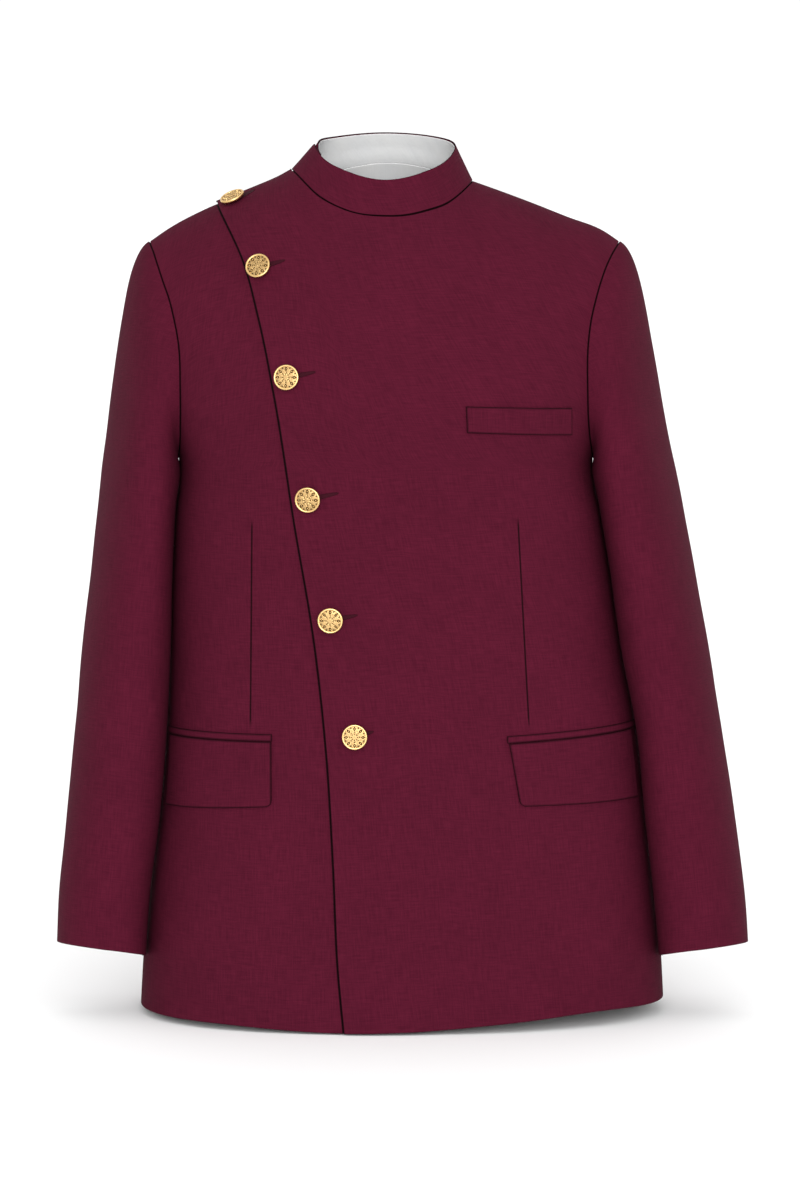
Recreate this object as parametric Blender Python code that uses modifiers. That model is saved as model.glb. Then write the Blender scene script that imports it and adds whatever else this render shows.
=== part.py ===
"""A bandhgala jacket with a diagonal front closure, worn and hollow, as its cut pieces.

Metres, +Z up. The front faces -Y and the wearer's left is +X. The origin lies at the
neck points' level, in the middle of the neck, where the wearer's shoulders hold it up.
"""

from collections import namedtuple
from math import pi

import bmesh
import bpy
import numpy as np
from mathutils import Vector

JACKET = "bandhgala_jacket"

# Cloth walls and the clearance that seams and layers keep.
CLOTH = 0.0018
LINING = 0.0009
SEAM_GAP = 0.0004
CENTRE_GAP = 0.0009
ARMHOLE_GAP = 0.0008
SHOULDER_GAP = 0.0006
LAYER_GAP = 0.0006
LINING_GAP = 0.0016
SLEEVE_SEAM_HALF = 0.8

# The torso's form: level sections, each side's half width and the reach to front and back.
# Above the underarm the half width is that of the full chest, which the armholes cut off.
Level = namedtuple("Level", "z right left front back")
LEVELS = [
    Level(-0.756, 0.2250, 0.2505, 0.134, 0.122),
    Level(-0.690, 0.2210, 0.2468, 0.130, 0.119),
    Level(-0.620, 0.2140, 0.2392, 0.126, 0.115),
    Level(-0.560, 0.2062, 0.2328, 0.123, 0.112),
    Level(-0.487, 0.2002, 0.2246, 0.120, 0.108),
    Level(-0.430, 0.1974, 0.2130, 0.118, 0.107),
    Level(-0.360, 0.1949, 0.2022, 0.118, 0.110),
    Level(-0.300, 0.1915, 0.1918, 0.121, 0.115),
    Level(-0.250, 0.1870, 0.1830, 0.124, 0.119),
    Level(-0.230, 0.1930, 0.1885, 0.125, 0.120),
    Level(-0.190, 0.2080, 0.2020, 0.126, 0.121),
    Level(-0.124, 0.2260, 0.2190, 0.126, 0.121),
    Level(-0.050, 0.2480, 0.2430, 0.126, 0.121),
]
SIDE_ROUND = 2.4
SIDE_SEAM_Y = 0.005
UNDERARM_Z = -0.250
SIDE_INSET = 2e-7
FORM_PROBE = 0.0005
SHOULDER_END_Z = -0.0562

# The shoulder line, and over the neck the height at which front and back would meet.
Ridge = namedtuple("Ridge", "x y front back")
RIDGE = [
    Ridge(-0.2135, 0.012, -0.0566, -0.0566),
    Ridge(-0.196, 0.012, -0.0446, -0.0446),
    Ridge(-0.165, 0.011, -0.0282, -0.0282),
    Ridge(-0.120, 0.008, -0.0105, -0.0105),
    Ridge(-0.094, 0.006, 0.0008, 0.0008),
    Ridge(-0.085, 0.005, 0.0058, 0.0058),
    Ridge(-0.062, 0.005, 0.0118, 0.0240),
    Ridge(-0.035, 0.005, 0.0216, 0.0500),
    Ridge(-0.003, 0.005, 0.0290, 0.0625),
    Ridge(0.030, 0.005, 0.0190, 0.0490),
    Ridge(0.055, 0.005, 0.0046, 0.0240),
    Ridge(0.076, 0.005, -0.0025, -0.0025),
    Ridge(0.115, 0.008, -0.0165, -0.0165),
    Ridge(0.160, 0.011, -0.0340, -0.0340),
    Ridge(0.195, 0.012, -0.0480, -0.0480),
    Ridge(0.2072, 0.012, -0.0564, -0.0564),
]

# Where the armhole seams cross each height, on the front and on the back.
Armhole = namedtuple("Armhole", "z right_front left_front right_back left_back")
ARMHOLES = [
    Armhole(-0.250, 0.1870, 0.1830, 0.1870, 0.1830),
    Armhole(-0.238, 0.1846, 0.1805, 0.1862, 0.1822),
    Armhole(-0.215, 0.1830, 0.1772, 0.1868, 0.1822),
    Armhole(-0.185, 0.1825, 0.1758, 0.1885, 0.1832),
    Armhole(-0.141, 0.1844, 0.1765, 0.1930, 0.1870),
    Armhole(-0.124, 0.1878, 0.1788, 0.1955, 0.1893),
    Armhole(-0.106, 0.1925, 0.1832, 0.1988, 0.1925),
    Armhole(-0.089, 0.1990, 0.1885, 0.2025, 0.1962),
    Armhole(-0.072, 0.2054, 0.1958, 0.2068, 0.2002),
    Armhole(-0.064, 0.2086, 0.2006, 0.2098, 0.2034),
    Armhole(-0.0562, 0.2130, 0.2068, 0.2130, 0.2068),
]

# The neck is an oval on the form. The collar's top edge, by angle from the wearer's right, past the front.
Neck = namedtuple("Neck", "angle top")
NECK = [
    Neck(-45, 0.0375),
    Neck(0, 0.0315),
    Neck(45, 0.0120),
    Neck(90, -0.0002),
    Neck(135, 0.0105),
    Neck(180, 0.0290),
    Neck(225, 0.0375),
    Neck(270, 0.0410),
    Neck(315, 0.0375),
    Neck(360, 0.0315),
    Neck(405, 0.0120),
]
NECK_MIDDLE = -0.0045
NECK_HALF = 0.0805
NECK_Y = 0.005
NECK_FRONT = 0.082
NECK_BACK = 0.061
NECK_LEVEL_Z = -0.030
COLLAR_MIDDLE = -0.0025
COLLAR_HALF = 0.0630
COLLAR_Y = 0.007
COLLAR_FRONT = 0.077
COLLAR_BACK = 0.047
COLLAR_RISE = (0.022, 1.0)
COLLAR_LINING_RISE = (0.05, 0.95)

# The overlap's free edge on the wearer's right, and the edge of the layer below it.
Closure = namedtuple("Closure", "z over under")
CLOSURE = [
    Closure(-0.756, -0.0375, -0.001),
    Closure(-0.690, -0.0435, -0.004),
    Closure(-0.600, -0.0475, -0.008),
    Closure(-0.507, -0.0530, -0.014),
    Closure(-0.400, -0.0645, -0.026),
    Closure(-0.300, -0.0810, -0.035),
    Closure(-0.190, -0.0980, -0.042),
    Closure(-0.120, -0.1125, -0.045),
    Closure(-0.070, -0.1270, -0.045),
    Closure(-0.020, -0.1530, -0.045),
]
CLOSURE_TOP_Z = -0.020
LAP = 0.0030
LAP_START = 0.006
LAP_FADE = 0.055
TUCK = 0.0010
TUCK_FADE = 0.020

# The bottom edge of the body.
Hem = namedtuple("Hem", "x front back")
HEM = [
    Hem(-0.226, -0.7435, -0.7435),
    Hem(-0.150, -0.7440, -0.7440),
    Hem(-0.040, -0.7482, -0.7440),
    Hem(0.020, -0.7470, -0.7430),
    Hem(0.109, -0.7408, -0.7400),
    Hem(0.200, -0.7348, -0.7375),
    Hem(0.251, -0.7370, -0.7370),
]

# Sleeve sections: the inner and outer edge on each arm, and the depth they share.
Sleeve = namedtuple("Sleeve", "z right_in right_out left_in left_out y half")
SLEEVES = [
    Sleeve(-0.706, 0.2178, 0.2995, 0.2439, 0.3264, -0.034, 0.0460),
    Sleeve(-0.640, 0.2131, 0.2965, 0.2378, 0.3215, -0.032, 0.0510),
    Sleeve(-0.566, 0.2036, 0.2893, 0.2293, 0.3120, -0.028, 0.0575),
    Sleeve(-0.491, 0.1973, 0.2825, 0.2217, 0.3009, -0.023, 0.0635),
    Sleeve(-0.417, 0.1935, 0.2759, 0.2076, 0.2889, -0.016, 0.0690),
    Sleeve(-0.344, 0.1916, 0.2680, 0.1971, 0.2762, -0.006, 0.0740),
    Sleeve(-0.289, 0.1888, 0.2625, 0.1880, 0.2662, 0.003, 0.0770),
    Sleeve(-0.262, 0.1868, 0.2599, 0.1841, 0.2609, 0.007, 0.0785),
]
SLEEVE_ROUND = 2.2
SLEEVE_LEAN = 0.22
BICEP_Z = -0.262
CUFF_Z = -0.6895
CUFF_SLANT = 0.0055
CUFF_RISE = 0.0060
SLEEVE_SEAMS = (160, 245)

# How the sleeve's head leaves the armhole, by its underarm side and its outer side.
Head = namedtuple("Head", "out fore down pull")
HEAD_INNER = Head(0.62, 0.22, 0.50, 0.80)
HEAD_OUTER = Head(0.92, 0.22, 0.42, 0.38)
HEAD_ARRIVE = 1.15

# Pockets, by their place on the front as seen from the front.
Patch = namedtuple(
    "Patch", "name start top_start bottom_start end top_end bottom_end lean wall columns rows"
)
PATCHES = [
    Patch("chest_welt", 0.0680, -0.1965, -0.2195, 0.1615, -0.2000, -0.2240, 0.0010, 0.0014, 9, 2),
    Patch("pocket_jet_right", -0.1955, -0.4870, -0.4934, -0.1015, -0.4855, -0.4919, 0.0005, 0.0012, 12, 1),
    Patch("pocket_flap_right", -0.1955, -0.4938, -0.5570, -0.1020, -0.4923, -0.5495, 0.0010, 0.0016, 12, 4),
    Patch("pocket_jet_left", 0.1045, -0.4870, -0.4934, 0.2195, -0.4820, -0.4884, 0.0005, 0.0012, 13, 1),
    Patch("pocket_flap_left", 0.1065, -0.4938, -0.5495, 0.2195, -0.4888, -0.5500, 0.0100, 0.0016, 13, 4),
]

# Buttons, by their place on the overlap, and their turned profile.
Button = namedtuple("Button", "x z")
BUTTONS = [
    Button(-0.1360, -0.0215),
    Button(-0.1119, -0.0780),
    Button(-0.0869, -0.1720),
    Button(-0.0687, -0.2775),
    Button(-0.0496, -0.3838),
    Button(-0.0287, -0.4862),
]
Turned = namedtuple("Turned", "radius height")
BUTTON_PROFILE = [
    Turned(0.0, 0.0042),
    Turned(0.0090, 0.0040),
    Turned(0.0097, 0.0048),
    Turned(0.0107, 0.0047),
    Turned(0.01125, 0.0039),
    Turned(0.01125, 0.0024),
    Turned(0.0101, 0.0016),
    Turned(0.0032, 0.0012),
    Turned(0.0032, 0.0),
    Turned(0.0, 0.0),
]
BUTTON_STEPS = 20
BUTTON_PROBE = 0.001

# How finely the pieces are sampled.
SKIRT_ROWS = 13
CHEST_ROWS = 13
CHEST_CLOSING = 1.4
PANEL_PASSES = 12
SHOULDER_LENGTH = 0.125
SHOULDER_COLUMNS = 7
NECK_COLUMNS = 12
CAP_RINGS = 8
CAP_CLOSING = 1.25
ARM_RINGS = 12
TOP_SLEEVE_COLUMNS = 18
UNDER_SLEEVE_COLUMNS = 6
COLLAR_COLUMNS = 40
COLLAR_ROWS = 3
COLLAR_TUCK = 18
COLLAR_SHIFT_START = 285
COLLAR_SHIFT_RUN = 62
COLLAR_SHIFT = 0.0046
NECK_LINING_TOP = 0.0015
NECK_LINING_END = 0.0040
NECK_LINING_DEPTH = 0.055
NECK_LINING_START = 196
NECK_LINING_COLUMNS = 14
NECK_LINING_ROWS = 4

MAROON = (0.100, 0.012, 0.027, 1.0)
PALE = (0.72, 0.72, 0.71, 1.0)
GOLD = (0.78, 0.55, 0.22, 1.0)


def smooth_curve(rows, key, column):
    """A smooth function of the key column that passes through the given column of every row."""
    keys = np.array([getattr(row, key) for row in rows], float)
    values = np.array([getattr(row, column) for row in rows], float)
    slopes = np.gradient(values, keys)

    def at(place):
        place = np.clip(np.asarray(place, float), keys[0], keys[-1])
        low = np.clip(np.searchsorted(keys, place) - 1, 0, len(keys) - 2)
        step = keys[low + 1] - keys[low]
        t = (place - keys[low]) / step
        start = values[low] * (1 + 2 * t) * (1 - t) ** 2 + slopes[low] * step * t * (1 - t) ** 2
        end = values[low + 1] * t**2 * (3 - 2 * t) + slopes[low + 1] * step * t**2 * (t - 1)
        return start + end

    return at


def ease(t):
    t = np.clip(t, 0, 1)
    return t * t * (3 - 2 * t)


half_right = smooth_curve(LEVELS, "z", "right")
half_left = smooth_curve(LEVELS, "z", "left")
reach_front = smooth_curve(LEVELS, "z", "front")
reach_back = smooth_curve(LEVELS, "z", "back")
ridge_y = smooth_curve(RIDGE, "x", "y")
ridge_front = smooth_curve(RIDGE, "x", "front")
ridge_back = smooth_curve(RIDGE, "x", "back")
neck_top = smooth_curve(NECK, "angle", "top")
over_edge = smooth_curve(CLOSURE, "z", "over")
under_edge = smooth_curve(CLOSURE, "z", "under")
hem_front = smooth_curve(HEM, "x", "front")
hem_back = smooth_curve(HEM, "x", "back")


def half_width(x, z):
    return np.where(np.asarray(x) < 0, half_right(z), half_left(z))


def level_y(x, z, face):
    """The depth of the torso's level section, before it curves in to the shoulders."""
    reach = -reach_front(z) if face < 0 else reach_back(z)
    across = np.clip(np.abs(x) / half_width(x, z), 0, 1)
    return SIDE_SEAM_Y + (reach - SIDE_SEAM_Y) * (1 - across**SIDE_ROUND) ** (1 / SIDE_ROUND)


def neck_x(angle):
    return NECK_MIDDLE - NECK_HALF * np.cos(np.radians(angle))


def neck_angle(x, face):
    around = np.degrees(np.arccos(np.clip((NECK_MIDDLE - x) / NECK_HALF, -1, 1)))
    return around if face < 0 else 360 - around


def ridge_z(x, face):
    return ridge_front(x) if face < 0 else ridge_back(x)


def neck_seam(angle):
    """The neck seam's height, where the form has the oval's depth."""
    turn = np.radians(angle)
    heights = []
    for face, depth in ((-1, NECK_FRONT), (1, NECK_BACK)):
        x = neck_x(angle)
        share = depth * np.sin(turn) / (level_y(x, NECK_LEVEL_Z, face) - NECK_Y)
        heights.append(UNDERARM_Z + (ridge_z(x, face) - UNDERARM_Z) * np.sqrt(1 - share**2))
    return np.where(np.sin(turn) >= 0, heights[0], heights[1])


def torso_point(x, z, face):
    """Points of the torso's form at a place seen from the front. Face is -1 in front, 1 behind."""
    x, z = np.broadcast_arrays(np.asarray(x, float), np.asarray(z, float))
    level = level_y(x, z, face)
    up = np.clip((z - UNDERARM_Z) / (ridge_z(x, face) - UNDERARM_Z), 0, 1)
    y = np.where(up > 0, ridge_y(x) + (level - ridge_y(x)) * np.sqrt(1 - up**2), level)
    return np.stack([x, y, z], axis=-1)


def form_out(x, z, face):
    """Outward directions of the torso's form at places seen from the front."""
    aside = torso_point(x + FORM_PROBE, z, face) - torso_point(x - FORM_PROBE, z, face)
    up = torso_point(x, z, face) - torso_point(x, z - FORM_PROBE, face)
    out = np.cross(aside, up) * -face
    return out / np.linalg.norm(out, axis=-1, keepdims=True)


def normals(grid):
    """Outward directions of a grid of points whose columns run to the right and rows run up."""
    right = np.gradient(grid, axis=1)
    up = np.gradient(grid, axis=0)
    out = np.cross(right, up)
    return out / np.maximum(np.linalg.norm(out, axis=-1, keepdims=True), 1e-12)


def moved_out(grid, distance):
    return grid + normals(grid) * np.asarray(distance)[..., None]


def side_angle(x, z):
    """How far round its level section a point lies, from -pi/2 to pi/2."""
    across = np.clip(np.abs(x) / half_width(x, z), 0, 1)
    return np.sign(x) * np.arcsin(across ** (SIDE_ROUND / 2))


def side_x(angle, z):
    return np.sign(angle) * half_width(angle, z) * np.sin(np.abs(angle)) ** (2 / SIDE_ROUND)


def seam_inset(edge, z):
    """An edge drawn in so far that two panels leave a seam's gap between them."""
    limit = half_width(edge, z) * (1 - SIDE_INSET)
    return np.clip(edge, -limit, limit)


def panel(face, start, end, top_x, top_z, hem):
    """A body panel's points, row by row from the hem to the shoulder and neck.

    start and end give the panel's side edges by height. top_x and top_z are its top edge.
    """
    count = len(top_x)
    share = np.linspace(0, 1, count)
    top_share = (top_x - top_x[0]) / (top_x[-1] - top_x[0])
    tops = np.clip((top_z - UNDERARM_Z) / (ridge_z(top_x, face) - UNDERARM_Z), 0, 1)
    turn = np.arcsin(tops)
    rows = []
    for row in range(SKIRT_ROWS + CHEST_ROWS + 1):
        x = start(UNDERARM_Z) + (end(UNDERARM_Z) - start(UNDERARM_Z)) * share
        climb = max(0.0, (row - SKIRT_ROWS) / CHEST_ROWS)
        for _ in range(PANEL_PASSES):
            if row <= SKIRT_ROWS:
                z = hem(x) + (UNDERARM_Z - hem(x)) * row / SKIRT_ROWS
            else:
                z = UNDERARM_Z + (ridge_z(x, face) - UNDERARM_Z) * np.sin(turn * climb**CHEST_CLOSING)
            left = start(z)
            right = end(z)
            angle = side_angle(left, z) * (1 - share) + side_angle(right, z) * share
            low = side_x(angle, z)
            high = left + (right - left) * top_share
            x = low + (high - low) * ease(climb)
        if row == SKIRT_ROWS + CHEST_ROWS:
            x, z = top_x, top_z
        rows.append(torso_point(x, z, face))
    return np.array(rows)


def armhole(column, sign):
    edge = smooth_curve(ARMHOLES, "z", column)
    half = half_right if sign < 0 else half_left

    def at(z):
        cut = np.where(np.asarray(z) < UNDERARM_Z, half(z), edge(z))
        return seam_inset(sign * cut, z)

    return at


def top_edge(face, start, end):
    """The shoulder and neck edge between two places: an angle round the neck, or an x on a shoulder."""
    xs = []
    neck_right, neck_left = neck_x(0), neck_x(180)
    if start < neck_right:
        steps = max(2, round(SHOULDER_COLUMNS * (neck_right - start) / SHOULDER_LENGTH))
        xs.extend(np.linspace(start, neck_right, steps + 1)[:-1])
    first = neck_angle(start, -1)
    last = neck_angle(end, -1)
    steps = max(2, round(NECK_COLUMNS * (last - first) / 180))
    angles = np.linspace(first, last, steps + 1)
    xs.extend(neck_x(angles))
    if end > neck_left:
        steps = max(2, round(SHOULDER_COLUMNS * (end - neck_left) / SHOULDER_LENGTH))
        xs.extend(np.linspace(neck_left, end, steps + 1)[1:])
    xs = np.array(xs)
    in_neck = (xs > neck_right) & (xs < neck_left)
    return xs, np.where(in_neck, neck_seam(neck_angle(xs, face)), ridge_z(xs, face))


def lap_height(points):
    """How far the overlap stands proud where the front's lower layer lies beneath it."""
    past = points[..., 0] - under_edge(points[..., 2]) - LAP_START
    return LAP * (1 - ease(past / LAP_FADE))


def front_left_grid():
    side = armhole("left_front", 1)
    xs, zs = top_edge(-1, over_edge(CLOSURE_TOP_Z).item(), side(SHOULDER_END_Z).item())
    grid = panel(-1, over_edge, side, xs, zs, hem_front)
    return moved_out(grid, lap_height(grid))


def front_right_grid():
    side = armhole("right_front", -1)
    xs, zs = top_edge(-1, side(SHOULDER_END_Z).item(), under_edge(CLOSURE_TOP_Z).item())
    grid = panel(-1, side, under_edge, xs, zs, hem_front)
    under = ease((grid[..., 0] - over_edge(grid[..., 2])) / TUCK_FADE)
    return moved_out(grid, -TUCK * under)


def centre_edge(sign):
    def at(z):
        return np.full(np.shape(z), sign * CENTRE_GAP / 2)

    return at


def back_grid(start, end):
    """Half of the back, with its columns running to the right as seen from behind."""
    xs, zs = top_edge(1, start(SHOULDER_END_Z).item(), end(SHOULDER_END_Z).item())
    return panel(1, start, end, xs, zs, hem_back)[:, ::-1]


def below_ridge(grid, gap):
    """A panel's points with its top edge drawn back along its own columns to part a seam."""
    trimmed = grid.copy()
    last = grid[-1] - grid[-2]
    length = np.linalg.norm(last, axis=-1, keepdims=True)
    trimmed[-1] = grid[-1] - last / length * gap
    return trimmed


def armhole_loop(front, back):
    """An armhole from its top round the front and the underarm to the back, as a closed line."""
    return np.concatenate([front[SKIRT_ROWS:][::-1], back[SKIRT_ROWS + 1:]])


def along(line, share):
    """Points at shares of a line's length."""
    steps = np.linalg.norm(np.diff(line, axis=0), axis=1)
    reached = np.concatenate([[0], np.cumsum(steps)]) / steps.sum()
    return np.stack([np.interp(share, reached, line[:, axis]) for axis in range(3)], axis=-1)


def sleeve_section(sign, turn, z):
    """Points of a sleeve's level section, by angle from its outer side past the front."""
    name = "right" if sign < 0 else "left"
    inner = smooth_curve(SLEEVES, "z", name + "_in")(z)
    outer = smooth_curve(SLEEVES, "z", name + "_out")(z)
    middle = smooth_curve(SLEEVES, "z", "y")(z)
    deep = smooth_curve(SLEEVES, "z", "half")(z)
    power = 2 / SLEEVE_ROUND
    lean = SLEEVE_LEAN * deep
    reach = SLEEVE_ROUND / (SLEEVE_ROUND - 1)
    wide = (((outer - inner) / 2) ** reach - lean**reach) ** (1 / reach)
    side = np.sign(np.cos(turn)) * np.abs(np.cos(turn)) ** power
    fore = np.sign(np.sin(turn)) * np.abs(np.sin(turn)) ** power
    x = sign * ((inner + outer) / 2 + wide * side - lean * fore)
    return np.stack(np.broadcast_arrays(x, middle - deep * fore, z), axis=-1)


def sleeve_grid(sign, loop, start, end, columns):
    """A sleeve piece between two angles round the arm, from the cuff up to the armhole."""
    turn = np.radians(np.linspace(start, end, columns + 1))
    share = (turn / (2 * pi)) % 1.0
    half = len(loop) // 2
    front = along(loop[: half + 1], share * 2)
    behind = along(loop[half:], share * 2 - 1)
    sewn = np.where(share[:, None] <= 0.5, front, behind)
    sewn = sewn + np.array([sign * ARMHOLE_GAP, 0, 0])
    bicep = sleeve_section(sign, turn, BICEP_Z)
    lower = sleeve_section(sign, turn, BICEP_Z - 0.03)
    down = bicep - lower
    down = -down / np.linalg.norm(down, axis=-1, keepdims=True)
    distance = np.linalg.norm(bicep - sewn, axis=-1, keepdims=True)
    outward = (1 + np.cos(turn)) / 2
    out = HEAD_INNER.out + (HEAD_OUTER.out - HEAD_INNER.out) * outward
    fore = HEAD_INNER.fore + (HEAD_OUTER.fore - HEAD_INNER.fore) * outward
    fall = HEAD_INNER.down + (HEAD_OUTER.down - HEAD_INNER.down) * outward
    leave = np.stack([sign * out, -fore * np.sin(turn), -fall], axis=-1)
    pull = HEAD_INNER.pull + (HEAD_OUTER.pull - HEAD_INNER.pull) * outward[:, None] ** 2
    rows = []
    for ring in range(CAP_RINGS + 1):
        t = (ring / CAP_RINGS) ** CAP_CLOSING
        point = sewn * (1 + 2 * t) * (1 - t) ** 2 + leave * pull * distance * t * (1 - t) ** 2
        point = point + bicep * t**2 * (3 - 2 * t) - down * HEAD_ARRIVE * distance * t**2 * (1 - t)
        rows.append(point)
    cuff = CUFF_Z + CUFF_SLANT * np.cos(turn) + CUFF_RISE * np.sin(turn)
    for ring in range(1, ARM_RINGS + 1):
        z = BICEP_Z + (cuff - BICEP_Z) * ring / ARM_RINGS
        rows.append(sleeve_section(sign, turn, z))
    return np.array(rows[::-1])


def collar_grid(rise_low, rise_high, rows, inward):
    """The collar's points between two shares of its height, from its lapped end past the front."""
    angle = np.linspace(0, 360 + COLLAR_TUCK, COLLAR_COLUMNS + 1)
    turn = np.radians(angle)
    seam_x = neck_x(angle)
    seam_z = neck_seam(angle)
    low_front = torso_point(seam_x, seam_z, -1)
    low_back = torso_point(seam_x, seam_z, 1)
    in_front = (np.sin(turn) >= 0)[:, None]
    low = np.where(in_front, low_front, low_back)
    top = np.stack([
        COLLAR_MIDDLE - COLLAR_HALF * np.cos(turn),
        COLLAR_Y - np.where(np.sin(turn) > 0, COLLAR_FRONT, COLLAR_BACK) * np.sin(turn),
        neck_top(angle),
    ], axis=-1)
    tucked = COLLAR_SHIFT * ease((angle - COLLAR_SHIFT_START) / COLLAR_SHIFT_RUN)
    lapped = np.where(angle <= 180, lap_height(low), 0)[:, None] * form_out(seam_x, seam_z, -1)
    grid = []
    for rise in np.linspace(rise_low, rise_high, rows + 1):
        point = low + (top - low) * rise
        aside = np.stack([np.cos(turn), np.sin(turn), np.zeros_like(turn)], axis=-1)
        point = point + aside * tucked[:, None]
        point += lapped * (1 - rise)
        grid.append(point)
    return moved_out(np.array(grid), np.full((rows + 1, COLLAR_COLUMNS + 1), -inward))


def neck_lining_grid():
    """The half moon of lining inside the back, below the collar seam."""
    angle = np.linspace(NECK_LINING_START, 540 - NECK_LINING_START, NECK_LINING_COLUMNS + 1)
    rise = np.abs(np.sin(np.radians(angle)))
    grid = []
    for share in np.linspace(1, 0, NECK_LINING_ROWS + 1):
        drop = NECK_LINING_TOP + (NECK_LINING_END + NECK_LINING_DEPTH * rise) * share
        grid.append(torso_point(neck_x(angle), neck_seam(angle) - drop, 1))
    return moved_out(np.array(grid), np.full((len(grid), len(angle)), -CLOTH - LINING_GAP))


def patch_grid(patch):
    """A pocket piece's points on the front, moved out by its own wall and a layer's gap."""
    middle_z = (patch.top_start + patch.bottom_start) / 2
    ends = side_angle(np.array([patch.start, patch.end]), middle_z)
    across = side_x(np.linspace(ends[0], ends[1], patch.columns + 1), middle_z)
    share = (across - patch.start) / (patch.end - patch.start)
    grid = []
    for down in np.linspace(1, 0, patch.rows + 1):
        start_z = patch.top_start + (patch.bottom_start - patch.top_start) * down
        end_z = patch.top_end + (patch.bottom_end - patch.top_end) * down
        z = start_z + (end_z - start_z) * share
        growth = half_width(across, z) / half_width(across, middle_z)
        x = across * (1 + (growth - 1) * np.abs(share - (patch.start < 0)) * (patch.rows > 2))
        grid.append(torso_point(x + patch.lean * down * (1 - share), z, -1))
    return moved_out(np.array(grid), np.full((patch.rows + 1, patch.columns + 1), LAYER_GAP + patch.wall))


def material(name, colour, roughness, metallic):
    made = bpy.data.materials.new(name)
    made.use_nodes = True
    shader = made.node_tree.nodes["Principled BSDF"]
    shader.inputs["Base Color"].default_value = colour
    shader.inputs["Roughness"].default_value = roughness
    shader.inputs["Metallic"].default_value = metallic
    return made


def sheet(name, grid, wall, finish, collection):
    """A cloth piece: an open surface through the grid, with its wall added on the inner side."""
    rows, columns = grid.shape[:2]
    mesh = bmesh.new()
    points = [[mesh.verts.new(grid[r, c]) for c in range(columns)] for r in range(rows)]
    for r in range(rows - 1):
        for c in range(columns - 1):
            mesh.faces.new([points[r][c], points[r][c + 1], points[r + 1][c + 1], points[r + 1][c]])
    data = bpy.data.meshes.new(name)
    mesh.to_mesh(data)
    mesh.free()
    data.shade_smooth()
    data.materials.append(finish)
    piece = bpy.data.objects.new(name, data)
    collection.objects.link(piece)
    solid = piece.modifiers.new("wall", "SOLIDIFY")
    solid.thickness = wall
    solid.offset = -1
    return piece


def button(name, place, finish, collection):
    """A turned metal button on its shank, standing square to the cloth under it."""
    across = np.array([place.x - BUTTON_PROBE, place.x + BUTTON_PROBE])
    up = np.array([place.z - BUTTON_PROBE, place.z + BUTTON_PROBE])
    grid = torso_point(across[None, :], up[:, None], -1)
    out = normals(grid).mean(axis=(0, 1))
    out /= np.linalg.norm(out)
    seat = torso_point(place.x, place.z, -1) + out * (LAP + SEAM_GAP)
    mesh = bmesh.new()
    points = [mesh.verts.new((row.radius, 0, row.height)) for row in BUTTON_PROFILE]
    for first, second in zip(points, points[1:]):
        mesh.edges.new((first, second))
    data = bpy.data.meshes.new(name)
    mesh.to_mesh(data)
    mesh.free()
    data.materials.append(finish)
    piece = bpy.data.objects.new(name, data)
    collection.objects.link(piece)
    piece.location = seat
    piece.rotation_euler = Vector(out).to_track_quat("Z", "Y").to_euler()
    turned = piece.modifiers.new("turned", "SCREW")
    turned.steps = BUTTON_STEPS
    turned.render_steps = BUTTON_STEPS
    turned.use_merge_vertices = True
    turned.merge_threshold = 0.00001


def main():
    for old in list(bpy.data.objects):
        bpy.data.objects.remove(old)
    jacket = bpy.data.collections.new(JACKET)
    bpy.context.scene.collection.children.link(jacket)
    cloth = material("maroon_cloth", MAROON, 0.85, 0.0)
    lining = material("pale_lining", PALE, 0.55, 0.0)
    metal = material("gold_metal", GOLD, 0.30, 1.0)

    front_left = front_left_grid()
    front_right = front_right_grid()
    back_right = back_grid(armhole("right_back", -1), centre_edge(-1))
    back_left = back_grid(centre_edge(1), armhole("left_back", 1))
    sheet("front_left", below_ridge(front_left, SHOULDER_GAP), CLOTH, cloth, jacket)
    sheet("front_right", below_ridge(front_right, SHOULDER_GAP), CLOTH, cloth, jacket)
    sheet("back_left", below_ridge(back_left, SHOULDER_GAP), CLOTH, cloth, jacket)
    sheet("back_right", below_ridge(back_right, SHOULDER_GAP), CLOTH, cloth, jacket)

    loops = {
        "right": armhole_loop(front_right[:, 0], back_right[:, -1]),
        "left": armhole_loop(front_left[:, -1], back_left[:, 0]),
    }
    fore_seam, hind_seam = SLEEVE_SEAMS
    half = SLEEVE_SEAM_HALF
    for name, sign in (("right", -1), ("left", 1)):
        top_ends = (hind_seam + half - 360, fore_seam - half)
        under_ends = (fore_seam + half, hind_seam - half)
        top = sleeve_grid(sign, loops[name], *top_ends, TOP_SLEEVE_COLUMNS)
        under = sleeve_grid(sign, loops[name], *under_ends, UNDER_SLEEVE_COLUMNS)
        if sign > 0:
            top, under = top[:, ::-1], under[:, ::-1]
        sheet("sleeve_" + name + "_top", top, CLOTH, cloth, jacket)
        sheet("sleeve_" + name + "_under", under, CLOTH, cloth, jacket)

    collar = collar_grid(*COLLAR_RISE, COLLAR_ROWS, 0.0)
    collar_inside = collar_grid(*COLLAR_LINING_RISE, COLLAR_ROWS, CLOTH + SEAM_GAP)
    sheet("collar", collar, CLOTH, cloth, jacket)
    sheet("collar_lining", collar_inside, LINING, lining, jacket)
    sheet("neck_lining", neck_lining_grid(), LINING, lining, jacket)
    for patch in PATCHES:
        sheet(patch.name, patch_grid(patch), patch.wall, cloth, jacket)
    for number, place in enumerate(BUTTONS, 1):
        button("button_%d" % number, place, metal, jacket)


main()
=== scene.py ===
"""Looks for a bandhgala jacket with a diagonal front closure: cloth, lining, sewing and buttons.

Metres, +Z up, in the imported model's frame. The front faces -Y and the wearer's left is +X.
The form's tables and functions are those of the solids, sampled more finely here.
"""

from collections import namedtuple
from math import pi

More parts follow.
